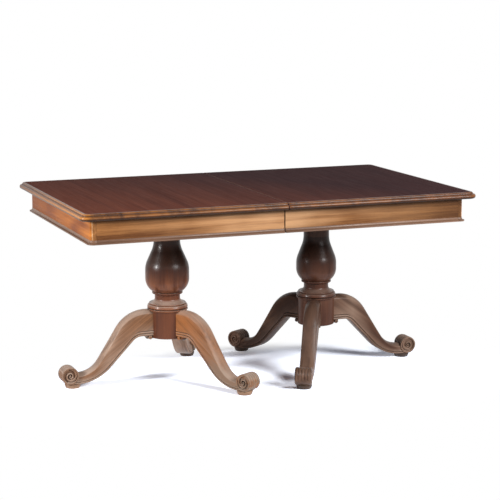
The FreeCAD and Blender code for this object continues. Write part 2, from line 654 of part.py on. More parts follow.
def make_head(side):
    """Battens under the top, the cap block below them and the screws of both."""
    battens = []
    for sign in ("", "-"):
        batten = new_body(f"{side}_batten")
        sketch = new_sketch(batten, "XY_Plane", BATTEN_FOOT)
        rectangle(sketch, f"{AXIS} - batten_length / 2", f"{sign}batten_offset - batten_width / 2",
                  f"{AXIS} + batten_length / 2", f"{sign}batten_offset + batten_width / 2")
        pad(batten, sketch, "batten_thickness")
        row = f"{sign}batten_offset"
        through = [place for place in batten_screws() if place[1] == row]
        bites = [place for place in cap_screws() if place[1] == row]
        screw_holes(batten, BATTEN_FOOT, through, "batten_thickness")
        screw_holes(batten, BATTEN_FOOT, through, "batten_thickness - screw_grip", HEAD_HOLE)
        screw_holes(batten, BATTEN_FOOT, bites, HOLE_DEPTH)
        battens.append(batten)
    turn_half(group(f"{side}_battens", battens), side)
    cap = node(new_body(f"{side}_cap_block"), f"{side}_cap_block")
    sketch = new_sketch(cap, "XY_Plane", CAP_FOOT)
    rectangle(sketch, f"{AXIS} - cap_side / 2", "-cap_side / 2", f"{AXIS} + cap_side / 2", "cap_side / 2")
    square = pad(cap, sketch, "cap_thickness")
    rims = level_edges(square, value(CAP_FOOT), lambda edge: True)
    dress(cap, "Chamfer", square, rims, "Size", "cap_chamfer")
    screw_holes(cap, CAP_FOOT, [(AXIS, "0")], "cap_thickness", "tenon_radius + joint_clearance")
    screw_holes(cap, CAP_FOOT, cap_screws(), "cap_thickness")
    screw_holes(cap, CAP_FOOT, cap_screws(), "cap_thickness - screw_grip", HEAD_HOLE)
    turn_half(cap, side)
    long_screw = "screw_grip + screw_bite"
    heads = [screw(x, y, LONG_SEAT, long_screw) for x, y in batten_screws() + slide_screws(side)]
    turn_half(group(f"{side}_top_screws", heads), side)
    heads = [screw(x, y, CAP_SEAT, long_screw) for x, y in cap_screws()]
    turn_half(group(f"{side}_cap_screws", heads), side)


def dovetail(sketch, gap, outer):
    """Plan of a leg's dovetail, widened all round by a gap and run out to a given distance."""
    root = f"hub_radius - dovetail_depth - {gap}"
    tail, neck = f"(dovetail_tail / 2 + {gap})", f"(dovetail_neck / 2 + {gap})"
    outline(sketch, [(root, f"-{tail}"), ("hub_radius", f"-{neck}"), (outer, f"-{neck}"),
                     (outer, neck), ("hub_radius", neck), (root, tail)])


def make_column(side):
    """Turned column with a tenon on top and three dovetail sockets in its hub."""
    body = node(new_body(f"{side}_column"), f"{side}_column")
    bulb = f"{side}_bulb_radius"
    shoulder = f"({BULB_LOW} + {side}_bulb_body)"
    throat = f"({shoulder} + bulb_taper)"
    profile = new_sketch(body, "XZ_Plane")
    hub = [("0", "hub_clearance"), ("hub_radius", "hub_clearance", "hub_edge_round"), ("hub_radius", HUB_TOP)]
    collar = [("collar_radius", HUB_TOP, "collar_round"), ("collar_radius", COLLAR_TOP, "collar_round"),
              (BEAD_ROOT, COLLAR_TOP)]
    bead = [(BEAD_ROOT, BEAD_FOOT), ("bead_radius", BEAD_FOOT, "bead_round"),
            ("bead_crown", BEAD_TOP, "bead_round"), (BEAD_ROOT, BEAD_TOP)]
    bell = [(BEAD_ROOT, BELL_FOOT), ("bell_radius", BELL_FOOT), ("bell_radius", BELL_LIP, "bell_lip_round"),
            ("bell_hollow", BELL_LIP)]
    neck = [("neck_radius", BELL_TOP, "neck_round"), ("neck_radius", f"{BELL_TOP} + neck_height")]
    ring = [("ring_radius", RING_FOOT, "ring_round"), ("ring_radius", RING_TOP, "ring_round")]
    vase = [("bulb_base_radius", RING_TOP), (bulb, BULB_LOW, "bulb_low_round"),
            (bulb, shoulder, "bulb_high_round"), ("throat_radius", throat, "throat_round")]
    tenon = [("throat_radius", CAP_FOOT), ("tenon_radius", CAP_FOOT), ("tenon_radius", BATTEN_FOOT),
             ("0", BATTEN_FOOT)]
    outline(profile, hub + collar + bead + bell + neck + ring + vase + tenon)
    revolve(body, profile)
    socket = new_sketch(body, "XY_Plane", "hub_clearance")
    dovetail(socket, "joint_clearance", "hub_radius + socket_run")
    cut = pocket(body, socket, "dovetail_height + joint_clearance")
    three_round(body, cut, socket)
    holes = new_sketch(body, "XY_Plane", "hub_clearance")
    circle(holes, "-spider_hub_screw", "0", SHANK_HOLE)
    three_round(body, pocket(body, holes, HOLE_DEPTH), holes)
    stand_at_column(body, side, 180 if side == "left" else 0)


def make_leg(side, name, turn):
    """Down-curved leg with a scroll foot, scribed to the hub and its collar and dovetailed into the hub."""
    body = node(new_body(f"{side}_{name}_leg"), f"{side}_{name}_leg")
    top, root = f"({COLLAR_TOP} + leg_top_rise)", "(hub_radius - leg_root_depth)"
    ankle, heel = "(leg_reach - ankle_back)", "(leg_reach - heel_back)"
    scroll = "(leg_reach + scroll_offset)"
    profile = new_sketch(body, "XZ_Plane")
    lines = outline(profile, [
        (root, top), ("knee_reach", top, "knee_round"), (ankle, "ankle_height", "ankle_round"),
        (f"{scroll} - instep_back", "scroll_height + instep_rise"),
        (f"{scroll} + toe_out", "scroll_height - toe_drop"),
        ("leg_reach + seat_half", "pad_height"), (heel, "pad_height", "heel_round"),
        ("arch_reach", "hub_clearance + arch_rise", "arch_round"),
        ("cusp_reach", "hub_clearance + arch_rise"),
        ("cusp_reach - cusp_slope", "hub_clearance", "cusp_round"), (root, "hub_clearance")])
    blank = pad(body, profile, "leg_width", symmetric=True)
    upper = [lines[key] for key in (("line", 0), ("round", 1), ("line", 1), ("round", 2), ("line", 2))]
    names = []
    for number, edge in enumerate(blank.Shape.Edges, start=1):
        middle = edge.valueAt((edge.FirstParameter + edge.LastParameter) / 2)
        if any(math.hypot(middle.x - spot.x, middle.z - spot.y) < NEAR for spot in upper):
            names.append(f"Edge{number}")
    dress(body, "Fillet", blank, names, "Radius", "leg_edge_round")
    scribe = new_sketch(body, "XY_Plane")
    circle(scribe, "0", "0", "hub_radius + joint_clearance")
    pocket(body, scribe, top)
    notch = new_sketch(body, "XY_Plane", f"{HUB_TOP} - joint_clearance")
    circle(notch, "0", "0", "collar_radius + joint_clearance")
    pocket(body, notch, "collar_height + 2 * leg_top_rise")
    tail = new_sketch(body, "XY_Plane", "hub_clearance")
    dovetail(tail, "0", "hub_radius + dovetail_bond")
    pad(body, tail, "dovetail_height")
    drum = new_sketch(body, "XZ_Plane")
    circle(drum, scroll, "scroll_height", "scroll_radius")
    pad(body, drum, "scroll_width", symmetric=True)
    for sign in ("", "-"):
        turn_line = new_sketch(body, "XZ_Plane", f"{sign}(scroll_width / 2 - scroll_sink)")
        circle(turn_line, scroll, "scroll_height", "scroll_radius - scroll_rim")
        circle(turn_line, scroll, "scroll_height", "scroll_radius - scroll_rim - scroll_turn")
        pocket_outward(body, turn_line, sign)
    eye = new_sketch(body, "XZ_Plane")
    circle(eye, scroll, "scroll_height", "eye_radius")
    pad(body, eye, "scroll_width + 2 * eye_rise", symmetric=True)
    screw_holes(body, "pad_height", [("leg_reach", "0")], HOLE_DEPTH)
    screw_holes(body, "hub_clearance", [("spider_leg_screw", "0")], HOLE_DEPTH)
    stand_at_column(body, side, turn)


def pocket_outward(body, sketch, sign):
    """Cut the sunk turn from its floor out through the side of the scroll."""
    feature = body.newObject("PartDesign::Pocket", f"{body.Name}_turn")
    feature.Profile = sketch
    feature.Reversed = sign == ""
    bind(feature, "Length", "scroll_sink + hole_extra")
    whole = body.Shape.Volume
    doc.recompute()
    if feature.Shape.Volume > whole - LEAST_CUT:
        raise RuntimeError(f"the sunk turn of {body.Name} cuts nothing")
    return feature


def make_foot_pad(side, name, turn):
    """Turned pad under a scroll, with a recess for its screw."""
    body = node(new_body(f"{side}_{name}_pad"), f"{side}_{name}_pad")
    profile = new_sketch(body, "XZ_Plane")
    outline(profile, [(SHANK_HOLE, "pad_height"), (SHANK_HOLE, "pad_recess"),
                      (HEAD_HOLE, "pad_recess"), (HEAD_HOLE, "0"),
                      ("pad_base_radius", "0"), ("pad_top_radius", "pad_height - pad_lip"),
                      ("pad_top_radius", "pad_height", "pad_round")])
    revolve(body, profile)
    stand_at_column(body, side, 0)
    cosine, sine = math.cos(math.radians(turn)), math.sin(math.radians(turn))
    centre = AXIS if side == "right" else f"-{AXIS}"
    bind(body, "Placement.Base.x", f"{centre} + ({cosine:.9f}) * leg_reach")
    bind(body, "Placement.Base.y", f"({sine:.9f}) * leg_reach")


def make_pedestal(side):
    """Column, three legs with pads, the iron plate under the hub and their screws."""
    make_column(side)
    pad_screws = []
    spider_screws = []
    for name, turn in LEG_ANGLES[side].items():
        make_leg(side, name, turn)
        make_foot_pad(side, name, turn)
        local = turn - (180 if side == "left" else 0)
        cosine, sine = math.cos(math.radians(local)), math.sin(math.radians(local))

        def along(distance):
            return f"{AXIS} + ({cosine:.9f}) * ({distance})", f"({sine:.9f}) * ({distance})"
        pad_screws.append(screw(*along("leg_reach"), "pad_recess", "pad_height - pad_recess + screw_bite"))
        for distance in ("spider_leg_screw", "-spider_hub_screw"):
            spider_screws.append(screw(*along(distance), SPIDER_FOOT, "spider_thickness + screw_bite"))
    turn_half(group(f"{side}_pad_screws", pad_screws), side)
    turn_half(group(f"{side}_spider_screws", spider_screws), side)
    plate = node(new_body(f"{side}_spider"), f"{side}_spider")
    middle = new_sketch(plate, "XY_Plane", SPIDER_FOOT)
    circle(middle, "0", "0", "spider_radius")
    pad(plate, middle, "spider_thickness")
    arm = new_sketch(plate, "XY_Plane", SPIDER_FOOT)
    half = "spider_arm_width / 2"
    outline(arm, [("0", f"-{half}"), ("spider_arm_reach", f"-{half}", "spider_arm_round"),
                  ("spider_arm_reach", half, "spider_arm_round"), ("0", half)])
    three_round(plate, pad(plate, arm, "spider_thickness"), arm)
    holes = new_sketch(plate, "XY_Plane", SPIDER_FOOT)
    for distance in ("spider_leg_screw", "-spider_hub_screw"):
        circle(holes, distance, "0", SHANK_HOLE)
    three_round(plate, pocket(plate, holes, "spider_thickness"), holes)
    stand_at_column(plate, side, 180 if side == "left" else 0)


def make_slide(label, lane, grooves, side=None):
    """A slide with a dovetail groove in one or both faces, drawn across the closed table."""
    body = node(new_body(label), label)
    sketch = new_sketch(body, "YZ_Plane")
    corners = []
    for sign in (1, -1):
        face = f"({lane} + ({sign}) * slide_thickness / 2)"
        floor = f"({face} - ({sign}) * groove_depth)"
        low, high = (SLIDE_FOOT, SLIDE_TOP) if sign == 1 else (SLIDE_TOP, SLIDE_FOOT)
        corners.append((face, low))
        if sign in grooves:
            mouth, root = f"({sign}) * groove_mouth / 2", f"({sign}) * (groove_mouth / 2 + groove_flare)"
            corners += [(face, f"{SLIDE_MIDDLE} - {mouth}"), (floor, f"{SLIDE_MIDDLE} - {root}"),
                        (floor, f"{SLIDE_MIDDLE} + {root}"), (face, f"{SLIDE_MIDDLE} + {mouth}")]
        corners.append((face, high))
    outline(sketch, corners)
    pad(body, sketch, "slide_length", symmetric=True)
    if side:
        turn = "-" if side == "left" else ""
        front = value(lane) < 0
        places = [(f"{turn}{x}", y) for x, y in slide_screws(side) if (y[0] == "-") == front]
        screw_holes(body, SLIDE_FOOT, places, "slide_height")
        screw_holes(body, SLIDE_FOOT, places, "slide_height + slide_clearance - screw_grip", HEAD_HOLE)
    return body


def make_key(lane, end):
    """A double dovetail key between two slides, at one end of them (-1 or 1)."""
    body = new_body("slide_key")
    start = "-slide_length / 2" if end < 0 else "slide_length / 2 - key_length"
    sketch = new_sketch(body, "YZ_Plane", start)
    reach = "(groove_depth + slide_clearance / 2 - slide_clearance)"
    waist = "(groove_mouth / 2 - slide_clearance)"
    wide = "(groove_mouth / 2 + groove_flare - slide_clearance)"
    near, far = f"{lane} - {reach}", f"{lane} + {reach}"
    low, high = f"{SLIDE_MIDDLE} - {wide}", f"{SLIDE_MIDDLE} + {wide}"
    outline(sketch, [(far, low), (far, high), (lane, f"{SLIDE_MIDDLE} + {waist}"),
                     (near, high), (near, low), (lane, f"{SLIDE_MIDDLE} - {waist}")])
    pad(body, sketch, "key_length")
    return body


def make_slides():
    """Two sets of three slides: one screwed to each half and one that runs between them."""
    left_keys, right_keys = [], []
    for name, sign in (("front", "-"), ("back", "")):
        inward = 1 if name == "front" else -1
        middle = f"({sign}slide_offset)"
        left = f"({middle} + ({inward}) * {SLIDE_PITCH})"
        right = f"({middle} - ({inward}) * {SLIDE_PITCH})"
        make_slide(f"{name}_left_slide", left, [-inward], "left")
        make_slide(f"{name}_middle_slide", middle, [1, -1])
        make_slide(f"{name}_right_slide", right, [inward], "right")
        left_gap = f"({middle} + ({inward}) * {SLIDE_PITCH} / 2)"
        right_gap = f"({middle} - ({inward}) * {SLIDE_PITCH} / 2)"
        left_keys.append(make_key(left_gap, 1))
        right_keys.append(make_key(right_gap, -1))
        group(f"{name}_middle_keys", [make_key(left_gap, -1), make_key(right_gap, 1)])
    group("left_slide_keys", left_keys)
    group("right_slide_keys", right_keys)


def make_pegs():
    """Pegs glued in the left half's inner edge that enter sockets in the right half."""
    pegs = []
    for place in PEG_PLACES:
        peg = doc.addObject("Part::Cylinder", "peg")
        peg.Placement.Rotation = FreeCAD.Rotation(FreeCAD.Vector(0, 1, 0), 90)
        for path, formula in (("Placement.Base.x", f"-{INNER} - peg_hold"), ("Placement.Base.y", place),
                              ("Placement.Base.z", PEG_LEVEL), ("Radius", "peg_radius"),
                              ("Height", "peg_hold + peg_reach")):
            bind(peg, path, formula)
        pegs.append(peg)
    group("alignment_pegs", pegs)


def make_hook(name, turn, flip):
    """Flat hook, drawn shut along +X from its pivot and then swung open."""
    body = node(new_body(f"{name}_hook"), f"{name}_hook")
    sketch = new_sketch(body, "XY_Plane")
    notch = "(keeper_radius + keeper_clearance)"
    near, far, tip = f"{HOOK_SPAN} - {notch}", f"{HOOK_SPAN} + {notch}", f"{HOOK_SPAN} + hook_nose"
    side, depth = "hook_width / 2", "keeper_radius + keeper_clearance / 2"
    back = f"{side} + hook_back"
    outline(sketch, [("-hook_heel", f"-{side}", "hook_round"), (near, f"-{side}"), (near, depth),
                     (far, depth), (far, f"-{side}"), (tip, f"-{side}", "hook_tip_round"),
                     (tip, back, "hook_round"), (f"{HOOK_SPAN} - hook_nose", back),
                     (f"{HOOK_SPAN} - hook_slope", side), ("-hook_heel", side, "hook_round")])
    pad(body, sketch, "hook_thickness", symmetric=True)
    hole = new_sketch(body, "XY_Plane")
    circle(hole, "0", "0", "pivot_radius + pivot_clearance")
    pocket(body, hole, "hook_thickness * 2", symmetric=True)
    swing = FreeCAD.Rotation(FreeCAD.Vector(0, 0, 1), turn)
    body.Placement.Rotation = swing * FreeCAD.Rotation(FreeCAD.Vector(1, 0, 0), flip)
    bind(body, "Placement.Base.x", f"-{INNER} - hook_inset")
    bind(body, "Placement.Base.y", "-hook_offset" if name == "front" else "hook_offset")
    bind(body, "Placement.Base.z", f"{HOOK_TOP} - hook_thickness / 2")


def make_catches():
    """Two hooks with their pivots in the left half and keeper pins in the right half."""
    make_hook("front", -90, 180)
    make_hook("back", 90, 0)
    pivots, keepers = [], []
    for place in ("-hook_offset", "hook_offset"):
        x = f"-{INNER} - hook_inset"
        collar = rod(x, place, f"{UNDERSIDE} - hook_collar", "pivot_head_radius", "hook_collar")
        shank = rod(x, place, HOOK_HEAD, "pivot_radius", f"{UNDERSIDE} + pin_bite - {HOOK_HEAD}")
        head = rod(x, place, f"{HOOK_HEAD} - screw_head_height", "pivot_head_radius", "screw_head_height")
        pivots.append(join([collar, shank, head]))
        x = f"{INNER} + keeper_inset"
        pin = rod(x, place, f"{UNDERSIDE} - keeper_drop", "keeper_radius", "keeper_drop + pin_bite")
        button = rod(x, place, f"{UNDERSIDE} - keeper_drop - keeper_head", "keeper_radius + keeper_rim",
                     "keeper_head")
        keepers.append(join([pin, button]))
    group("hook_pivots", pivots)
    group("keeper_pins", keepers)


def hand_over():
    """Check every object and write each named piece."""
    doc.recompute()
    for thing in doc.Objects:
        if "Invalid" in thing.State or "Error" in thing.State:
            raise RuntimeError(f"{thing.Label} could not be built: {thing.State}")
    os.makedirs("parts", exist_ok=True)
    for thing in NODES:
        shape = thing.Shape
        if shape.isNull() or not shape.isValid() or not shape.Solids:
            raise RuntimeError(f"{thing.Label} has no sound solid")
        shape.exportStep(f"parts/{thing.Label}.step")
        print(f"{thing.Label}: {len(shape.Solids)} solid, {shape.Volume / 1000:.1f} cm3")


for half in ("left", "right"):
    make_top(half)
    make_frieze(half)
    make_head(half)
    make_pedestal(half)
make_slides()
make_pegs()
make_catches()
hand_over()
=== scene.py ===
# %% [markdown]
# # An extending dining table on two pedestals
#
# This lesson dresses an old mahogany table. Its joinery is already built to size and arrives as a
# fixed frame: halves of a top, rails, turned columns, legs with scroll feet, and the slides and hooks
# hidden below. Each cell makes one kind of piece or one finish, in metres and in the frame's own axes:
# X runs along the table, Y across it with the front at -Y, and Z is up.

# %% Load the joinery
import json
import math

import bmesh
import bpy
from mathutils import Matrix, Vector


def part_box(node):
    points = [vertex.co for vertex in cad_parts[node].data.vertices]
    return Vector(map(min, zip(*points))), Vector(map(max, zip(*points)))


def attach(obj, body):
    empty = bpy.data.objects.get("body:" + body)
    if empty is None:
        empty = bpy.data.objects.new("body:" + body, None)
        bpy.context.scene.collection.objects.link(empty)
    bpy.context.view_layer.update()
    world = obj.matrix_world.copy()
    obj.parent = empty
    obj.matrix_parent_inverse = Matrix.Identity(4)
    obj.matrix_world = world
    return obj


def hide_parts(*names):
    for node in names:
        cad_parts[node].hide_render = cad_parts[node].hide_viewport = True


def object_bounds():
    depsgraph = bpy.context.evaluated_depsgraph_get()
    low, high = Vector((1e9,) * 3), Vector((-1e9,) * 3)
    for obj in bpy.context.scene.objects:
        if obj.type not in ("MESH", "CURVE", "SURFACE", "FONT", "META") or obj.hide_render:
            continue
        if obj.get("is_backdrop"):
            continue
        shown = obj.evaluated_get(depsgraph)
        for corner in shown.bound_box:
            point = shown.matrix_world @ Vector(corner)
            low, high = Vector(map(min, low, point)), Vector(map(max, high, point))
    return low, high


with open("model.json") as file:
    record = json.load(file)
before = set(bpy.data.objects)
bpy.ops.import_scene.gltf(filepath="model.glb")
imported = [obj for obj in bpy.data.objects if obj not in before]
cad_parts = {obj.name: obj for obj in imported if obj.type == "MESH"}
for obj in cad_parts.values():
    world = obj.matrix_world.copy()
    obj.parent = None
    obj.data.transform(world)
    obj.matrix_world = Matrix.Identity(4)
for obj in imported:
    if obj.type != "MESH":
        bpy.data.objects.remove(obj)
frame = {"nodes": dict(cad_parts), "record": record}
cad_low, cad_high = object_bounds()
SCENE = bpy.context.scene
SLOT_OF = {part["node"]: part["material_slot"] for part in frame["record"]["subparts"]}
BODY_OF = {node: body for body, nodes in frame["record"]["behaviour"]["bodies"].items() for node in nodes}
SIDES = ("left", "right")
MM = 0.001

# %% [markdown]
# ## The camera
#
# The camera comes first, because every later choice is judged through it. A long lens from a few steps
# away keeps the table's edges almost parallel, so the camera is set by the angle it looks from, its
# distance and the point it aims at, which are easier to read than a position and three turns.

# %% Place the camera
VIEW_AZIMUTH = math.radians(-21.247)
VIEW_PITCH = math.radians(10.064)
VIEW_ROLL = math.radians(-0.058)
VIEW_DISTANCE = 6.7113
AIM = Vector((0.0307, 0.0, 0.5000))
LENS = 119.377
SENSOR = 36.0


def direction(azimuth, pitch):
    """A unit arrow from the table out to a place seen at that azimuth and pitch."""
    level = Vector((math.sin(azimuth), -math.cos(azimuth), 0)) * math.cos(pitch)
    return level + Vector((0, 0, math.sin(pitch)))


def facing(place, target):
    """The turn that points a lamp's or camera's -Z axis from a place at a target."""
    return (target - place).to_track_quat("-Z", "Y").to_matrix()


lens = bpy.data.cameras.new("table_view")
lens.lens = LENS
lens.sensor_width = SENSOR
camera = bpy.data.objects.new("table_view", lens)
camera.location = AIM + direction(VIEW_AZIMUTH, VIEW_PITCH) * VIEW_DISTANCE
camera.rotation_euler = (facing(camera.location, AIM) @ Matrix.Rotation(VIEW_ROLL, 3, "Z")).to_euler()
SCENE.collection.objects.link(camera)
SCENE.camera = camera
print("camera at", [round(value, 3) for value in camera.location])

# %% [markdown]
# ## A helper for node trees
#
# Materials, the world and Geometry Nodes are all trees of nodes. One small helper adds a node, sets its
# options, and either fills an input with a value or links it to another node's output. It keeps the
# recipes below short enough to read as recipes.

# %% Node helper


def add(tree, kind, inputs=None, **options):
    """Add a node; each input gets a value, or a link where it is given another node's socket."""
    made = tree.nodes.new(kind)
    for option, value in options.items():
        setattr(made, option, value)
    for key, value in (inputs or {}).items():
        if isinstance(value, bpy.types.NodeSocket):
            tree.links.new(value, made.inputs[key])
        else:
            made.inputs[key].default_value = value
    return made


def emptied(owner):
    """The node tree of a material or world, with nothing in it."""
    owner.use_nodes = True
    owner.node_tree.nodes.clear()
    return owner.node_tree


def reckon(tree, operation, first, second=0.0):
    """One step of arithmetic."""
    return add(tree, "ShaderNodeMath", {0: first, 1: second}, operation=operation).outputs[0]


def colour(red, green, blue):
    """A colour given as on a paint chart, from 0 to 255, in the linear values that shaders use."""
    def linear(part):
        share = part / 255
        return share / 12.92 if share <= 0.04045 else ((share + 0.055) / 1.055) ** 2.4
    return linear(red), linear(green), linear(blue), 1.0


print("helpers ready")

# %% [markdown]
# ## Studio light
#
# Two softboxes light the table: a small one low past its left end, and a wide one at the front right.
# Their low angle lights the rails and legs, leaves the flat top dark, and throws long pale shadows. The
# world gives only dim light, but the camera and reflections see it as white.

# %% Light the studio
SCENE.view_settings.view_transform = "Standard"
LIT_POINT = Vector((0, 0, 0.45))
DIM_WORLD = (0.085, 0.09, 0.11, 1.0)
WHITE = (1.0, 1.0, 1.0, 1.0)


def softbox(name, azimuth, pitch, distance, width, height, power):
    """A rectangular lamp that stands at an angle round the table and faces it."""
    lamp = bpy.data.lights.new(name, "AREA")
    lamp.shape = "RECTANGLE"
    lamp.size = width
    lamp.size_y = height
    lamp.energy = power
    stand = bpy.data.objects.new(name, lamp)
    stand.location = LIT_POINT + direction(math.radians(azimuth), math.radians(pitch)) * distance
    stand.rotation_euler = facing(stand.location, LIT_POINT).to_euler()
    SCENE.collection.objects.link(stand)


def looked_at(tree):
    """1 for rays of the camera, reflections and glass, 0 for the rays that carry soft light."""
    ray = add(tree, "ShaderNodeLightPath").outputs
    shown = reckon(tree, "MAXIMUM", ray["Is Camera Ray"], ray["Is Glossy Ray"])
    return reckon(tree, "MAXIMUM", shown, ray["Is Transmission Ray"])


softbox("left_softbox", azimuth=-80, pitch=14, distance=3.2, width=0.38, height=0.46, power=92)
softbox("right_softbox", azimuth=28, pitch=24, distance=4.8, width=1.7, height=1.7, power=310)

world = bpy.data.worlds.new("studio")
SCENE.world = world
tree = emptied(world)
dim = add(tree, "ShaderNodeBackground", {"Color": DIM_WORLD})
white = add(tree, "ShaderNodeBackground", {"Color": WHITE})
mixed = add(tree, "ShaderNodeMixShader", {0: looked_at(tree), 1: dim.outputs[0], 2: white.outputs[0]})
add(tree, "ShaderNodeOutputWorld", {"Surface": mixed.outputs[0]})
print("two softboxes and a dim world")

# %% [markdown]
# ## Floor
#
# The floor is a wide pale disc that keeps the table's shadow. For the camera and for reflections its paint
# is whiter than white, as on an overexposed studio sweep, and away from the table it turns to plain white,
# so that it runs into the background without a horizon. The light it throws back is that of pale paint.

# %% Lay the floor
FLOOR_RADIUS = 12.0
FLOOR_SEGMENTS = 64
FLOOR_DROP = 0.0004
FLOOR_PAINT = (0.84, 0.85, 0.87, 1.0)
SEEN_PAINT = (1.58, 1.68, 1.86, 1.0)
NEAR_SIZE = (0.75, 1.3, 1.0)
NEAR_SHIFT = (0.0, 0.26, 0.0)
GLOW_START = 0.6
GLOW_FULL = 0.88


def floor_finish():
    """Pale matt paint, which looks whiter where it is seen and plain white away from the table."""
    material = bpy.data.materials.new("studio_floor")
    tree = emptied(material)
    paint = add(tree, "ShaderNodeBsdfDiffuse", {"Color": FLOOR_PAINT})
    lifted = add(tree, "ShaderNodeBsdfDiffuse", {"Color": SEEN_PAINT})
    plain = add(tree, "ShaderNodeEmission", {"Color": WHITE})
    place = add(tree, "ShaderNodeTexCoord").outputs["Object"]
    near = add(tree, "ShaderNodeMapping", {"Vector": place, "Location": NEAR_SHIFT, "Scale": NEAR_SIZE})
    away = add(tree, "ShaderNodeVectorMath", {0: near.outputs[0]}, operation="LENGTH").outputs["Value"]
    far = add(tree, "ShaderNodeMapRange", {"Value": away, "From Min": GLOW_START, "From Max": GLOW_FULL},
              interpolation_type="SMOOTHSTEP")
    seen = add(tree, "ShaderNodeMixShader", {0: far.outputs[0], 1: lifted.outputs[0], 2: plain.outputs[0]})
    mixed = add(tree, "ShaderNodeMixShader", {0: looked_at(tree), 1: paint.outputs[0], 2: seen.outputs[0]})
    add(tree, "ShaderNodeOutputMaterial", {"Surface": mixed.outputs[0]})
    return material


disc = bmesh.new()
bmesh.ops.create_circle(disc, cap_ends=True, segments=FLOOR_SEGMENTS, radius=FLOOR_RADIUS)
bmesh.ops.translate(disc, verts=disc.verts, vec=(0, 0, -FLOOR_DROP))
sheet = bpy.data.meshes.new("floor")
disc.to_mesh(sheet)
disc.free()
floor = bpy.data.objects.new("floor", sheet)
floor.data.materials.append(floor_finish())
SCENE.collection.objects.link(floor)
floor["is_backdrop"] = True
print("floor of", FLOOR_RADIUS, "m")

# %% [markdown]
# ## Polished wood
#
# Wood is a solid pattern, not a skin: streaks run along the board and end grain shows where it is cut
# across. So every wooden piece carries an attribute called `grain`, its own coordinates with X along the
# fibres, and one recipe reads it. Stretched noises give the broad figure, the fibres, the dark pores and
# a slow drift of the tone. On carved and turned pieces the ridges are painted pale, which the surface's
# own curvature tells: partly rubbed wear, partly a painted highlight. Hollows are painted dark, found by
# how little open air a spot sees: a painted shade, with grime in it. Dust greys what faces up. A second
# attribute marks places painted paler: wear where use has rubbed, a painted highlight on the crests of
# the moulded edge of the top, and a painted reflection of the floor low on the vases. A third marks
# places painted darker: mostly painted shade, on the upper vases, under the top, under the nose of its
# edge and in its step, in the gap between the halves and near the hubs of two legs, and elsewhere a
# plainly darker tone. The top is also painted lighter towards its front left end and darker and bluer
# away from it, a painted pool of light with a painted cool reflection, and the pale line along its joint
# is a painted highlight.

# %% Wood recipe
FIGURE = (0.8, 32.0, 32.0)
FIBRE = (6.0, 230.0, 230.0)
PORES = (38.0, 1500.0, 1500.0)
DRIFT = (3.0, 7.0, 7.0)
FIGURE_SHARE = 0.52
FIBRE_SHARE = 0.26
DRIFT_SHARE = 0.22
BOARD_SPREAD = 0.05
PORE_RANGE = (0.60, 0.72)
PORE_DARKNESS = 0.4
# Painted light on the top: lighter towards its front left end, darker and bluer away from it.
TOWARDS_PAINTED_LIGHT = (-0.62, -0.42, 0.0)
PAINTED_LIGHT_RANGE = (0.62, -0.2)
PAINTED_SHADE_TINT = (137, 155, 204)
# A painted highlight along the joint of the top.
JOINT_HIGHLIGHT = 0.8
# Paler marks: wear, a painted highlight on the crests of the top's edge, a painted floor reflection on the
# vases.
WEAR_AND_LIGHT_RANGE = (0.8, 1.15)
DUST = (165, 147, 134)
DUST_SLOPE = (0.15, 0.85)
DUST_PATCHES = (0.35, 0.62, 0.45, 1.0)
RIDGE_RANGE = (0.508, 0.57)
RIDGE_WEAR_AND_HIGHLIGHT = 0.75
RIDGE_PATCHES = (0.35, 0.6, 0.3, 1.0)
# The dark colour of painted shade and grime.
SHADE_AND_GRIME = (30, 17, 12)
HOLLOW_REACH = 0.006
HOLLOW_RANGE = (0.82, 0.35)
HOLLOW_SHADE_AND_GRIME = 0.85
AIR_SAMPLES = 8
SHEEN_RANGE = (0.3, 0.7)
DULLER = 0.07
GLOSSIER = 0.05
FIBRE_HEIGHT = 0.5
PORE_PITS = (0.58, 0.72)


def mix(tree, share, first, second, blend="MIX"):
    """Blend two colours, which are inputs 6 and 7 and output 2 of the Mix node."""
    made = add(tree, "ShaderNodeMix", {0: share, 6: first, 7: second}, data_type="RGBA", blend_type=blend)
    return made.outputs[2]


def ranged(tree, value, low, high, start=0.0, stop=1.0):
    """A value moved from one range to another and held inside it."""
    made = add(tree, "ShaderNodeMapRange", {"Value": value, "From Min": low, "From Max": high,
                                            "To Min": start, "To Max": stop})
    return made.outputs[0]


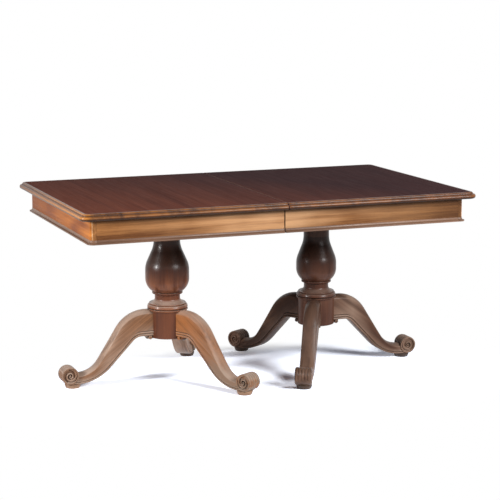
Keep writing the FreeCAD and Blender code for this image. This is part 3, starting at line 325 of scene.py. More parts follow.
def wood(name, pale, dark, worn_and_lit, contrast=0.13, rough=0.38, polish=0.2, shine=0.4, aged=0.0, dusty=0.0,
         boards=0.0, joint=0.0):
    """Polished wood between a pale and a dark tone.

    aged is how far its ridges are painted pale, wear with a painted highlight, and its hollows painted
    dark, painted shade with grime, and dusty how much dust lies on it.
    boards is the width of glued-up boards, and joint the width of a pale line at x 0, a painted highlight
    along the joint, if it has them; joint also brings the top's painted light and shade.
    """
    material = bpy.data.materials.new(name)
    tree = emptied(material)
    place = add(tree, "ShaderNodeAttribute", attribute_name="grain").outputs["Vector"]

    def streaks(scale, detail, warp=0.0):
        stretched = add(tree, "ShaderNodeMapping", {"Vector": place, "Scale": scale}).outputs[0]
        return add(tree, "ShaderNodeTexNoise", {"Vector": stretched, "Scale": 1.0, "Detail": detail,
                                                "Roughness": 0.6, "Distortion": warp}).outputs[0]

    figure = streaks(FIGURE, 4.0, 0.5)
    fibre = streaks(FIBRE, 3.0)
    pores = streaks(PORES, 1.0)
    drift = streaks(DRIFT, 2.0)
    tone = reckon(tree, "MULTIPLY", figure, FIGURE_SHARE)
    tone = reckon(tree, "ADD", tone, reckon(tree, "MULTIPLY", fibre, FIBRE_SHARE))
    tone = reckon(tree, "ADD", tone, reckon(tree, "MULTIPLY", drift, DRIFT_SHARE))
    if boards:
        across = add(tree, "ShaderNodeSeparateXYZ", {0: place}).outputs[1]
        board = reckon(tree, "FLOOR", reckon(tree, "DIVIDE", across, boards))
        shade = add(tree, "ShaderNodeTexWhiteNoise", {"W": board}, noise_dimensions="1D").outputs["Value"]
        tone = reckon(tree, "ADD", tone, ranged(tree, shade, 0.0, 1.0, -BOARD_SPREAD, BOARD_SPREAD))
    base = mix(tree, ranged(tree, tone, 0.5 - contrast, 0.5 + contrast), colour(*dark), colour(*pale))
    base = mix(tree, ranged(tree, pores, *PORE_RANGE, 0.0, PORE_DARKNESS), base, colour(*dark), "MULTIPLY")
    if joint:
        # Painted light and shade over the top: darker and bluer away from its front left end, a painted
        # cool reflection.
        spot = add(tree, "ShaderNodeTexCoord").outputs["Object"]
        lit_side = add(tree, "ShaderNodeVectorMath", {0: spot, 1: TOWARDS_PAINTED_LIGHT}, operation="DOT_PRODUCT")
        shaded = ranged(tree, lit_side.outputs["Value"], *PAINTED_LIGHT_RANGE)
        base = mix(tree, shaded, base, colour(*PAINTED_SHADE_TINT), "MULTIPLY")
        # A pale line along the joint: a painted highlight.
        beside = reckon(tree, "ABSOLUTE", add(tree, "ShaderNodeSeparateXYZ", {0: spot}).outputs[0])
        base = mix(tree, ranged(tree, beside, joint, joint * 2, JOINT_HIGHLIGHT, 0.0), base, colour(*worn_and_lit))
    # Paler marks: wear, a painted highlight on the crests of the top's edge, a painted floor reflection low
    # on the vases.
    wear_and_light_share = add(tree, "ShaderNodeAttribute", attribute_name="wear_and_light").outputs["Fac"]
    wear_and_light_share = reckon(tree, "MULTIPLY", wear_and_light_share, ranged(tree, reckon(tree, "ADD", figure, drift), *WEAR_AND_LIGHT_RANGE))
    base = mix(tree, wear_and_light_share, base, colour(*worn_and_lit))
    # Darker marks: mostly painted shade, elsewhere a plainly darker tone.
    shade_and_soil = add(tree, "ShaderNodeAttribute", attribute_name="shade_and_grime").outputs["Fac"]
    base = mix(tree, shade_and_soil, base, colour(*SHADE_AND_GRIME))
    surface = add(tree, "ShaderNodeNewGeometry")
    if dusty:
        upward = add(tree, "ShaderNodeSeparateXYZ", {0: surface.outputs["Normal"]}).outputs[2]
        dust = reckon(tree, "MULTIPLY", ranged(tree, upward, *DUST_SLOPE, 0.0, dusty),
                      ranged(tree, drift, *DUST_PATCHES))
        dust = reckon(tree, "MULTIPLY", dust, reckon(tree, "SUBTRACT", 1.0, shade_and_soil))
        base = mix(tree, dust, base, colour(*DUST))
    if aged:
        # Ridges painted pale: wear and a painted highlight.
        ridge = ranged(tree, surface.outputs["Pointiness"], *RIDGE_RANGE, 0.0, RIDGE_WEAR_AND_HIGHLIGHT * aged)
        ridge = reckon(tree, "MULTIPLY", ridge, ranged(tree, drift, *RIDGE_PATCHES))
        base = mix(tree, ridge, base, colour(*worn_and_lit))
        # Hollows painted dark by how little open air they see: painted shade and grime.
        open_to_air = add(tree, "ShaderNodeAmbientOcclusion", {"Distance": HOLLOW_REACH},
                          samples=AIR_SAMPLES, only_local=True).outputs["AO"]
        hollow = ranged(tree, open_to_air, *HOLLOW_RANGE, 0.0, HOLLOW_SHADE_AND_GRIME * aged)
        base = mix(tree, hollow, base, colour(*SHADE_AND_GRIME))
    sheen = ranged(tree, fibre, *SHEEN_RANGE, rough + DULLER, rough - GLOSSIER)
    raised = reckon(tree, "MULTIPLY", fibre, FIBRE_HEIGHT)
    relief = reckon(tree, "SUBTRACT", raised, ranged(tree, pores, *PORE_PITS))
    bump = add(tree, "ShaderNodeBump", {"Height": relief, "Strength": 0.2, "Distance": 0.0003}).outputs[0]
    shader = add(tree, "ShaderNodeBsdfPrincipled", {
        "Base Color": base, "Roughness": sheen, "Normal": bump, "Specular IOR Level": shine,
        "Coat Weight": polish, "Coat Roughness": 0.2})
    add(tree, "ShaderNodeOutputMaterial", {"Surface": shader.outputs[0]})
    return material


FINISH = {
    "top_wood": wood("dark_top", (122, 68, 50), (88, 47, 36), (170, 140, 128), contrast=0.2, rough=0.6,
                     polish=0.0, shine=0.008, boards=0.155, joint=0.0015),
    "top_edge": wood("golden_edge", (96, 54, 26), (58, 32, 16), (176, 114, 52), rough=0.3, polish=0.0,
                     shine=0.18),
    "apron_wood": wood("golden_rail", (165, 112, 64), (96, 58, 31), (202, 163, 124), contrast=0.12,
                       polish=0.0, shine=0.1),
    "end_apron": wood("orange_rail", (114, 62, 30), (106, 56, 27), (176, 108, 46), contrast=0.25,
                      polish=0.0, shine=0.04),
    # A greyish brown moulding; no dust is laid on it.
    "moulding_wood": wood("greyish_moulding", (122, 91, 72), (80, 58, 44), (150, 128, 112), polish=0.0,
                          shine=0.25),
    "left_column_wood": wood("red_brown_turning", (93, 50, 31), (57, 29, 19), (138, 87, 58), contrast=0.2,
                             rough=0.31, polish=0.05, shine=0.17, aged=1.0, dusty=0.7),
    "right_column_wood": wood("dark_turning", (74, 41, 28), (44, 23, 15), (94, 63, 48), contrast=0.2,
                              rough=0.31, polish=0.05, shine=0.13, aged=1.0, dusty=0.2),
    "left_leg_wood": wood("honey_leg", (140, 94, 60), (72, 48, 32), (172, 148, 130), contrast=0.13,
                          polish=0.05, shine=0.14, aged=1.0, dusty=0.95),
    "left_front_leg": wood("orange_leg", (178, 110, 58), (100, 63, 37), (126, 103, 85), contrast=0.13,
                           polish=0.05, shine=0.14, aged=1.0, dusty=0.8),
    "right_leg_wood": wood("walnut_brown_leg", (88, 55, 37), (42, 25, 17), (134, 110, 94), contrast=0.17,
                           polish=0.05, shine=0.14, aged=1.0, dusty=0.12),
    "pad_wood": wood("foot_pad_wood", (80, 60, 48), (46, 34, 27), (104, 86, 73), shine=0.25, polish=0.0),
    # A lighter copy of the pad wood, painted light for the two pads out of shade; the pads are one wood.
    "left_pad": wood("pale_pad_wood", (162, 128, 102), (110, 82, 62), (180, 152, 128), shine=0.25,
                     polish=0.0),
    "plain_wood": wood("bare_wood", (158, 124, 88), (124, 91, 61), (166, 140, 108), rough=0.6, polish=0.0,
                       shine=0.25),
}
print(len(FINISH), "kinds of wood")

# %% [markdown]
# ## Metal
#
# The hooks, pivots, screws and the plates under the hubs are plain shop metal. Noise in the colour and
# the roughness gives iron its scale, steel its handling marks and brass its tarnish.

# %% Metal recipe
TARNISH_RANGE = (0.38, 0.62)
TARNISHED = 0.12
BURNISHED = 0.08


def metal(name, bright, dull, rough, grain_scale):
    """Bare metal with cloudy tarnish."""
    material = bpy.data.materials.new(name)
    tree = emptied(material)
    place = add(tree, "ShaderNodeTexCoord").outputs["Object"]
    cloud = add(tree, "ShaderNodeTexNoise", {"Vector": place, "Scale": grain_scale, "Detail": 6.0,
                                             "Roughness": 0.65}).outputs[0]
    base = mix(tree, ranged(tree, cloud, *TARNISH_RANGE), colour(*dull), colour(*bright))
    bump = add(tree, "ShaderNodeBump", {"Height": cloud, "Strength": 0.15, "Distance": 0.0002}).outputs[0]
    shader = add(tree, "ShaderNodeBsdfPrincipled", {
        "Base Color": base, "Metallic": 1.0, "Normal": bump,
        "Roughness": ranged(tree, cloud, *SHEEN_RANGE, rough + TARNISHED, rough - BURNISHED)})
    add(tree, "ShaderNodeOutputMaterial", {"Surface": shader.outputs[0]})
    return material


FINISH["iron"] = metal("black_iron", (96, 92, 90), (52, 46, 43), 0.5, 90.0)
FINISH["steel"] = metal("screw_steel", (168, 164, 158), (112, 106, 98), 0.34, 160.0)
FINISH["brass"] = metal("old_brass", (198, 160, 92), (136, 100, 52), 0.32, 120.0)
print("metals ready")

# %% [markdown]
# ## Shapes from outlines
#
# Turned, swept and lofted pieces all start as a line with rounded corners, just as a maker draws them
# on a board. The helpers below round such a line, space points along it evenly, and turn rows of points
# into a skin of four-sided faces.

# %% Outline helpers
POLE_RADIUS = 0.01


def rounded(corners, steps=8):
    """Points of a line through (a, b) corners; a third number rounds that corner by an arc."""
    line = []
    for number, corner in enumerate(corners):
        here = Vector(corner[:2])
        if len(corner) == 2:
            line.append(here)
            continue
        back = (Vector(corners[number - 1][:2]) - here).normalized()
        onward = (Vector(corners[number + 1][:2]) - here).normalized()
        half = back.angle(onward) / 2
        centre = here + (back + onward).normalized() * (corner[2] / math.sin(half))
        reach = corner[2] / math.tan(half)
        first, last = here + back * reach - centre, here + onward * reach - centre
        sweep = first.angle(last)
        for step in range(steps + 1):
            share = step / steps
            spoke = first * math.sin((1 - share) * sweep) + last * math.sin(share * sweep)
            line.append(centre + spoke / math.sin(sweep))
    return line


def evenly(line, count):
    """The same line as evenly spaced points."""
    lengths = [0.0]
    for first, last in zip(line, line[1:]):
        lengths.append(lengths[-1] + (last - first).length)
    points, part = [], 0
    for step in range(count):
        reach = lengths[-1] * step / (count - 1)
        while part < len(line) - 2 and lengths[part + 1] < reach:
            part += 1
        span = lengths[part + 1] - lengths[part]
        points.append(line[part].lerp(line[part + 1], (reach - lengths[part]) / span if span else 0.0))
    return points


def skin(rows, wrapped=True):
    """Four-sided faces between rows of points, each row numbered after the last."""
    count = len(rows[0])
    faces = []
    for row in range(len(rows) - 1):
        for step in range(count if wrapped else count - 1):
            after = (step + 1) % count
            faces.append((row * count + step, row * count + after, (row + 1) * count + after,
                          (row + 1) * count + step))
    return [point for row in rows for point in row], faces


def capped(rows):
    """A closed skin round rows of points, with a flat face at each end."""
    points, faces = skin(rows)
    count = len(rows[0])
    faces.append(tuple(reversed(range(count))))
    faces.append(tuple(range(len(points) - count, len(points))))
    return points, faces


def turned(line, segments):
    """A line of (radius, level) points spun round the Z axis into a closed skin."""
    angles = [2 * math.pi * step / segments for step in range(segments)]
    rows = []
    for radius, level in line:
        wide = max(radius, POLE_RADIUS)
        rows.append([Vector((wide * math.cos(angle), wide * math.sin(angle), level)) for angle in angles])
    return capped(rows)


print("outline helpers ready")

# %% [markdown]
# ## Making a piece of wood
#
# A finished piece replaces the plain solid that the frame holds. It gets outward faces, soft shading
# broken only at real arrises, its grain coordinates, its finish, and a ride on the same body. A shift of
# the grain, different for each piece, stops neighbours from showing the same figure.

# %% Piece helper
SMOOTH_ANGLE = math.radians(38)
MERGE = 2e-6
GRAIN_SHIFT = Vector((0.83, 0.37, 0.59))
ALONG = {
    "x": Matrix(((1, 0, 0), (0, 1, 0), (0, 0, 1))),
    "y": Matrix(((0, 1, 0), (1, 0, 0), (0, 0, 1))),
    "z": Matrix(((0, 0, 1), (1, 0, 0), (0, 1, 0))),
}
# These two pads take a lighter copy of the one pad wood: painted light.
PAINTED_LIT_PADS = ("left_outer_pad", "left_front_pad")
pieces_made = []


def finish_of(node):
    """The finish of a node: mostly its slot's own, but a few pieces differ from their kind."""
    if node.endswith("end_apron"):
        return FINISH["end_apron"]
    if node in FINISH:
        return FINISH[node]
    if node in PAINTED_LIT_PADS:
        return FINISH["left_pad"]
    return FINISH[SLOT_OF[node]]


def seated(node, kind, mesh):
    """An object of a finished mesh that stands for one node and rides on its body."""
    piece = bpy.data.objects.new(f"{node}_{kind}", mesh)
    SCENE.collection.objects.link(piece)
    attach(piece, BODY_OF[node])
    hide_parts(node)
    return piece


def wooden(node, kind, mesh, grain, place=None, second=None):
    """Finish a mesh as the piece that stands for one node; faces numbered 1 take a second finish."""
    solid = bmesh.new()
    solid.from_mesh(mesh)
    bmesh.ops.remove_doubles(solid, verts=solid.verts, dist=MERGE)
    bmesh.ops.recalc_face_normals(solid, faces=solid.faces)
    shift = GRAIN_SHIFT * (len(pieces_made) + 1)
    turn = grain.to_3x3()
    spots = [turn @ vert.co + shift for vert in solid.verts]
    if place is not None:
        bmesh.ops.transform(solid, matrix=place, verts=solid.verts)
    solid.to_mesh(mesh)
    solid.free()
    mesh.shade_smooth()
    mesh.set_sharp_from_angle(angle=SMOOTH_ANGLE)
    pattern = mesh.attributes.new("grain", "FLOAT_VECTOR", "POINT")
    pattern.data.foreach_set("vector", [value for spot in spots for value in spot])
    numbers = [face.material_index for face in mesh.polygons]
    mesh.materials.clear()
    mesh.materials.append(finish_of(node))
    if second:
        mesh.materials.append(FINISH[second])
        mesh.polygons.foreach_set("material_index", numbers)
    piece = seated(node, kind, mesh)
    pieces_made.append(piece)
    return piece


def mesh_of(name, shells):
    """One mesh from several closed skins, given in millimetres."""
    points, faces = [], []
    for shell_points, shell_faces in shells:
        start = len(points)
        points += [Vector(point) * MM for point in shell_points]
        faces += [tuple(start + corner for corner in face) for face in shell_faces]
    mesh = bpy.data.meshes.new(name)
    mesh.from_pydata(points, [], faces)
    return mesh


def mark(mesh, name, values):
    """Store one number for each point of a mesh, such as how worn it is."""
    mesh.attributes.new(name, "FLOAT", "POINT").data.foreach_set("value", values)


def middle(node):
    """The middle of a node's box, at floor level."""
    low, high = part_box(node)
    return Vector(((low.x + high.x) / 2, (low.y + high.y) / 2, 0))


print("piece helper ready")

# %% [markdown]
# ## Turned columns
#
# Each column is one length of wood turned on a lathe: a straight hub for the legs, a thin collar, a fat
# bead, a bell that sweeps up into a neck, a ring, and a vase. Spinning one outline is how the lathe works
# too. The two vases aren't quite twins: the left one is fuller and longer. Both are painted darker towards
# the top of the vase and the neck, a painted shadow of the table top, and paler low on the belly, a
# painted reflection of the floor; the hub and the mouldings above it are rubbed pale.

# %% Turn the columns
COLUMN_SEGMENTS = 144
COLUMN_STEPS = 12
HUB_RADIUS = 75.0
HUB_FOOT = 175.5
HUB_TOP = 285.0
# Paler marks up the column: wear on the hub and mouldings, a painted floor reflection low on the vase's
# belly.
WEAR_AND_BELLY_LIGHT = {
    "left": ((HUB_TOP, 0.15), (HUB_TOP + 1.0, 0.5), (HUB_TOP + 22.0, 0.5), (HUB_TOP + 30.0, 0.3),
             (HUB_TOP + 60.0, 0.1), (HUB_TOP + 73.0, 0.0), (HUB_TOP + 80.0, 0.6), (HUB_TOP + 110.0, 0.5),
             (HUB_TOP + 160.0, 0.0)),
    "right": ((HUB_TOP, 0.45), (HUB_TOP + 1.0, 0.1), (HUB_TOP + 22.0, 0.1), (HUB_TOP + 60.0, 0.1),
              (HUB_TOP + 73.0, 0.0), (HUB_TOP + 80.0, 0.5), (HUB_TOP + 110.0, 0.4), (HUB_TOP + 160.0, 0.0)),
}
# Painted shade: the upper vase and neck are darkened, a painted shadow of the table top.
UNDER_TOP_SHADE = ((HUB_TOP + 105.0, 0.0), (HUB_TOP + 150.0, 0.3), (HUB_TOP + 190.0, 0.82), (HUB_TOP + 225.0, 1.0),
          (HUB_TOP + 262.0, 0.85))
VASE = {"left": (87.5, 82.0), "right": (82.5, 63.0)}


def graded(level, stops):
    """A share that runs straight from one (level, share) stop to the next."""
    below = [stop for stop in stops if stop[0] <= level] or [stops[0]]
    above = [stop for stop in stops if stop[0] > level] or [stops[-1]]
    (low, start), (high, end) = below[-1], above[0]
    return start + (end - start) * (level - low) / (high - low) if high > low else start


def column_outline(bulb_radius, bulb_body, top, tenon_top):
    """The outline of a column as (radius, level, rounding) corners from the hub upward."""
    collar, bead, bell = HUB_TOP + 6.5, HUB_TOP + 8.0, HUB_TOP + 24.5
    ring, vase = HUB_TOP + 66.0, HUB_TOP + 72.5
    shoulder = vase + 25.0 + bulb_body
    hub = [(0, HUB_FOOT), (HUB_RADIUS, HUB_FOOT, 3.0), (HUB_RADIUS, HUB_TOP)]
    mouldings = [(81.0, HUB_TOP, 1.5), (81.0, collar, 1.5), (72.0, collar), (72.0, bead),
                 (82.5, bead, 5.0), (78.0, bead + 15.0, 5.0), (72.0, bead + 15.0), (72.0, bell)]
    sweep = [(74.0, bell), (74.0, bell + 4.0, 2.0), (65.0, bell + 4.0), (50.5, bell + 16.0, 12.0),
             (50.5, bell + 37.0)]
    belly = [(61.0, ring, 1.8), (61.0, vase, 1.8), (58.0, vase), (bulb_radius, vase + 25.0, 62.0),
             (bulb_radius, shoulder, 95.0), (52.5, shoulder + 78.0, 110.0), (52.5, top)]
    tenon = [(30.0, top), (30.0, tenon_top), (0, tenon_top)]
    return hub + mouldings + sweep + belly + tenon


for side in SIDES:
    node = f"{side}_column"
    cap_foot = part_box(f"{side}_cap_block")[0].z / MM
    tenon_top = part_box(node)[1].z / MM
    outline = rounded(column_outline(*VASE[side], cap_foot, tenon_top), steps=COLUMN_STEPS)
    mesh = mesh_of(node, [turned(outline, COLUMN_SEGMENTS)])
    levels = [point.y for point in outline for step in range(COLUMN_SEGMENTS)]
    mark(mesh, "wear_and_light", [graded(level, WEAR_AND_BELLY_LIGHT[side]) for level in levels])
    mark(mesh, "shade_and_grime", [graded(level, UNDER_TOP_SHADE) for level in levels])
    wooden(node, "turned", mesh, ALONG["z"], Matrix.Translation(middle(node)))
    print(node, len(outline), "points in its outline")

# %% [markdown]
# ## Carved legs: the blank
#
# A leg is sawn from a plank: level where it leaves the hub, then down over a knee to a scroll foot. Its
# upper and lower edges are two rounded lines. Cross-sections stretched between them make the blank: flat
# sides, a crowned upper face, and a sunk band low on each side where beads will lie. All six legs share
# one drawing, with the distances measured out from the column's axis.

# %% Loft the blank
LEG_TOP = HUB_TOP + 6.4
LEG_ROOT = 62.0
LEG_HALF = 28.5
BAND_HALF = 24.5
CROWN = 14.0
CROWN_POWER = 2.2
CROWN_WIDTH = 0.93
CROWN_STEPS = 14
EDGE_STEPS = 20
BAND_MARGIN = 1.0
BAND_EASE = 2.0
SIDE_TRIM = 3.0
SIDE_PARTS = (0.33, 0.67, 1.0)
ARRIS_POINTS = ((-0.5, 0.3), (0.8, 1.2))
ARCH = 187.0
SEAT = 16.0
SECTIONS = 90
BEAD_RADIUS = (4.8, 3.8)
leg_reach = (middle("left_outer_pad") - middle("left_column")).length / MM
SCROLL = Vector((leg_reach + 16.0, 52.0))
upper_edge = rounded([(LEG_ROOT, LEG_TOP), (173.5, LEG_TOP, 136.0), (leg_reach - 81.0, 63.5, 97.0),
                      (SCROLL.x - 23.0, 58.0), (SCROLL.x - 8.0, 56.0)], steps=EDGE_STEPS)
lower_edge = rounded([(LEG_ROOT, ARCH), (138.0, ARCH, 48.0), (leg_reach - 95.0, SEAT, 178.0),
                      (leg_reach + 27.0, SEAT + 0.5)], steps=EDGE_STEPS)


def bead_radius(share):
    """Radius of the beads at a share of the way from the hub to the scroll."""
    return BEAD_RADIUS[0] + (BEAD_RADIUS[1] - BEAD_RADIUS[0]) * share


def leg_section(low, high, share):
    """One cross-section between a point of the lower edge and one of the upper edge."""
    rise = high - low
    height = rise.length
    arris = height - CROWN
    band = 4 * bead_radius(share) + BAND_MARGIN
    side = band + BAND_MARGIN
    half = [(0.0, BAND_HALF - BAND_EASE), (BAND_MARGIN, BAND_HALF), (band, BAND_HALF), (side, LEG_HALF)]
    half += [(side + (arris - band - SIDE_TRIM) * part, LEG_HALF) for part in SIDE_PARTS]
    half += [(arris + up, LEG_HALF - ease) for up, ease in ARRIS_POINTS]
    for step in range(1, CROWN_STEPS + 1):
        wide = CROWN_WIDTH * (1 - step / CROWN_STEPS)
        half.append((height - CROWN * wide ** CROWN_POWER, LEG_HALF * wide))
    ring = half + [(level, -wide) for level, wide in reversed(half[:-1])]
    return [Vector((low.x + rise.x * level / height, wide, low.y + rise.y * level / height))
            for level, wide in ring]


lows = evenly(lower_edge, SECTIONS)
highs = evenly(upper_edge, SECTIONS)
blank = capped([leg_section(lows[row], highs[row], row / (SECTIONS - 1)) for row in range(SECTIONS)])
print("blank with", len(blank[0]), "points, reach", round(leg_reach, 1), "mm")

# %% [markdown]
# ## Carved legs: the scroll
#
# The foot rolls up into a scroll. On each side a ridge leaves the broad rim at the top and winds in to a
# small eye; the ground between is sunk. Over the front the rim is carved into reeds that die out
# towards the seat. One closed skin does it all: rings from one eye, over the rim, to the other eye.

# %% Carve the scroll
SCROLL_RADIUS = 34.5
SCROLL_HALF = 32.0
SCROLL_SINK = 6.5
RIM_WIDTH = 6.0
RIM_SLOPE = 3.0
RIDGE_START = 0.5
RIDGE_END = 2.3
HALVING = 0.75
EYE_RADIUS = 5.0
EYE_POLE = 0.05
REEDS = 5
REED_DEPTH = 3.0
REEDS_END = 0.75
REEDS_FADE = 0.6
RIDGE_WIDTH = (0.16, 1.2)
SIDE_EASE = 1.0
RIM_EASE = 0.8
SCROLL_STEPS = 96
SIDE_STEPS = 32
RIM_STEPS = 60


def carving(radius, angle):
    """Height of the carved side above its sunk ground, from 0 to 1."""
    rim = SCROLL_RADIUS - RIM_WIDTH
    height = min(1.0, max(0.0, (radius - rim) / RIM_SLOPE + 1.0))
    height = max(height, math.sqrt(max(0.0, 1 - (radius / EYE_RADIUS) ** 2)))
    start = ((angle + math.pi / 2) / (2 * math.pi)) % 1.0
    for whole in range(math.ceil(RIDGE_END)):
        turns = start + whole
        if RIDGE_START <= turns <= RIDGE_END:
            winding = rim * 0.5 ** ((turns - RIDGE_START) / HALVING)
            across = (radius - winding) / (RIDGE_WIDTH[0] * winding + RIDGE_WIDTH[1])
            height = max(height, math.sqrt(max(0.0, 1 - across * across)))
    return height


def reed_cut(share, angle):
    """How deep the reeding cuts at a place across the rim and round it."""
    lobe = abs(math.sin(REEDS * math.pi * share))
    fade = min(1.0, max(0.0, (math.sin(angle) + REEDS_END) / REEDS_FADE))
    return REED_DEPTH * fade * (1 - math.sqrt(lobe))


def scroll_ring(radii, wides, angles):
    """Points round the scroll's axis, each with its radius and its distance from the leg's middle."""
    return [Vector((SCROLL.x + radius * math.cos(angle), wide, SCROLL.y + radius * math.sin(angle)))
            for radius, wide, angle in zip(radii, wides, angles)]


def scroll_skin():
    """Rings of points from one eye over the rim to the other."""
    angles = [2 * math.pi * step / SCROLL_STEPS for step in range(SCROLL_STEPS)]
    edge = SCROLL_RADIUS - SIDE_EASE
    sides = []
    for sign in (1, -1):
        rings = []
        for radius in [EYE_POLE] + [edge * step / SIDE_STEPS for step in range(1, SIDE_STEPS + 1)]:
            wides = [sign * (SCROLL_HALF - SCROLL_SINK * (1 - carving(radius, angle))) for angle in angles]
            rings.append(scroll_ring([radius] * SCROLL_STEPS, wides, angles))
        sides.append(rings)
    rim = []
    for step in range(RIM_STEPS + 1):
        share = step / RIM_STEPS
        wide = SCROLL_HALF - RIM_EASE - (2 * SCROLL_HALF - 2 * RIM_EASE) * share
        radii = [SCROLL_RADIUS - reed_cut(share, angle) for angle in angles]
        rim.append(scroll_ring(radii, [wide] * SCROLL_STEPS, angles))
    return capped(sides[0] + rim + sides[1][::-1])


scroll = scroll_skin()
print("scroll with", len(scroll[0]), "points")

# %% [markdown]
# ## Carved legs: beads that follow the edge
#
# Two beads run side by side along the lower edge of each side, from a small knob at the hub down to the
# scroll. They follow a path, so Geometry Nodes sweep them: the tree turns a drawn line into a curve, gives
# it the thickness stored on its points, sweeps a round section along it and closes the ends.

# %% Sweep the beads
BEAD_SIDES = 12
BEAD_POINTS = 80
BEAD_LIFT = 0.1


def geometry_tree(name, inputs, output):
    """A Geometry Nodes tree with the given inputs, each with its kind, and one output."""
    tree = bpy.data.node_groups.new(name, "GeometryNodeTree")
    for label, kind in inputs.items():
        tree.interface.new_socket(label, in_out="INPUT", socket_type=f"NodeSocket{kind}")
    tree.interface.new_socket(output, in_out="OUTPUT", socket_type="NodeSocketGeometry")
    return tree


def sweeping_tree():
    """A node tree that sweeps a round bead along every line of a mesh."""
    tree = geometry_tree("bead_along_edge", {"Lines": "Geometry", "Sides": "Int", "Fullness": "Float",
                                             "Finish": "Material"}, "Beads")
    given = add(tree, "NodeGroupInput")
    thick = add(tree, "GeometryNodeInputNamedAttribute", {"Name": "thickness"}, data_type="FLOAT")
    curves = add(tree, "GeometryNodeMeshToCurve", {"Mesh": given.outputs["Lines"]})
    section = add(tree, "GeometryNodeCurvePrimitiveCircle", {"Resolution": given.outputs["Sides"],
                                                             "Radius": given.outputs["Fullness"]})
    swept = add(tree, "GeometryNodeCurveToMesh", {
        "Curve": curves.outputs[0], "Profile Curve": section.outputs[0], "Scale": thick.outputs[0],
        "Fill Caps": True})
    whole = add(tree, "GeometryNodeRealizeInstances", {"Geometry": swept.outputs[0]})
    finished = add(tree, "GeometryNodeSetMaterial", {"Geometry": whole.outputs[0],
                                                     "Material": given.outputs["Finish"]})
    add(tree, "NodeGroupOutput", {"Beads": finished.outputs[0]})
    return tree


def put_in(mesh):
    """A working object of a mesh in the scene."""
    thing = bpy.data.objects.new(mesh.name, mesh)
    SCENE.collection.objects.link(thing)
    return thing


def settled(thing, modifier):
    """The plain mesh that a working object's modifier makes; the object then goes."""
    bpy.context.view_layer.update()
    evaluated = thing.evaluated_get(bpy.context.evaluated_depsgraph_get())
    result = bpy.data.meshes.new_from_object(evaluated)
    thing.modifiers.remove(modifier)
    bpy.data.objects.remove(thing)
    return result


def grown(tree, mesh, settings):
    """The plain mesh that a Geometry Nodes tree makes from another, its inputs found by name."""
    base = put_in(mesh)
    modifier = base.modifiers.new("nodes", "NODES")
    modifier.node_group = tree
    for item in tree.interface.items_tree:
        if item.item_type == "SOCKET" and item.in_out == "INPUT" and item.name in settings:
            modifier[item.identifier] = settings[item.name]
    return settled(base, modifier)


def bead_lines():
    """The two beads of both sides of a leg as lines with a thickness at each point."""
    path = evenly(lower_edge, BEAD_POINTS)
    points, edges, thickness = [], [], []
    for sign in (1, -1):
        for lane in (1, 3):
            for number, here in enumerate(path):
                ahead = path[min(number + 1, BEAD_POINTS - 1)] - path[max(number - 1, 0)]
                inward = Vector((-ahead.y, ahead.x)).normalized()
                radius = bead_radius(number / (BEAD_POINTS - 1))
                spot = here + inward * radius * lane
                if number:
                    edges.append((len(points) - 1, len(points)))
                points.append(Vector((spot.x, sign * (BAND_HALF + radius * BEAD_LIFT), spot.y)) * MM)
                thickness.append(radius * MM)
    mesh = bpy.data.meshes.new("bead_lines")
    mesh.from_pydata(points, edges, [])
    mark(mesh, "thickness", thickness)
    return mesh


swept = grown(sweeping_tree(), bead_lines(), {"Sides": BEAD_SIDES, "Fullness": 1.0,
                                              "Finish": FINISH["left_leg_wood"]})
beads = ([vert.co / MM for vert in swept.vertices], [tuple(face.vertices) for face in swept.polygons])
print("beads with", len(beads[0]), "points")

# %% [markdown]
# ## Carved legs: the knobs at the hub, and six legs
#
# Where the beads reach the hub they end over a small knob on each side. Between the knobs a plain block
# fills the leg down to the iron plate. With that the drawing is whole, and each leg is a copy of it,
# turned to its place, with its own marks: pairs of a distance from the column's axis and a share of paler,
# rubbed colour, and pairs for a share of darker colour, which near the hubs of the right front and right
# back legs is a painted shadow of the top. The plank's grain runs from knee to foot.

# %% Set the legs
KNOB_AXIS = (81.0, 180.0)
KNOB_STEPS = 5
KNOB_SEGMENTS = 28
KNOB_OUTLINE = [(0, 14.0), (8.0, 14.0), (8.0, 28.5, 3.0), (4.5, 28.5), (3.5, 27.0), (0, 27.5)]
FILLER = ((64.0, 92.0), 20.0, (HUB_FOOT, ARCH + 6.0))
GRAIN_SLOPE = math.radians(-36)


def knob_skin(sign):
    """A small turned knob that lies across the leg, on one side of it."""
    points, faces = turned(rounded(KNOB_OUTLINE, steps=KNOB_STEPS), KNOB_SEGMENTS)
    out, up = KNOB_AXIS
    return [Vector((out + point.x, sign * point.z, up + point.y)) for point in points], faces


def filler_skin():
    """The block between the knobs and the hub."""
    (near, far), half, (low, high) = FILLER
    rows = [[Vector((x, y, z)) for y, z in ((-half, low), (half, low), (half, high), (-half, high))]
            for x in (near, far)]
    return capped(rows)


LEGS = ("outer", "front", "back")
leg_shells = [blank, scroll, beads, knob_skin(1), knob_skin(-1), filler_skin()]
plank = ALONG["x"].to_4x4() @ Matrix.Rotation(-GRAIN_SLOPE, 4, "Y").inverted()
LEFT_RUB = ((LEG_ROOT, 0.0), (150.0, 0.1), (250.0, 0.7), (leg_reach - 90.0, 0.15), (leg_reach, 0.1))
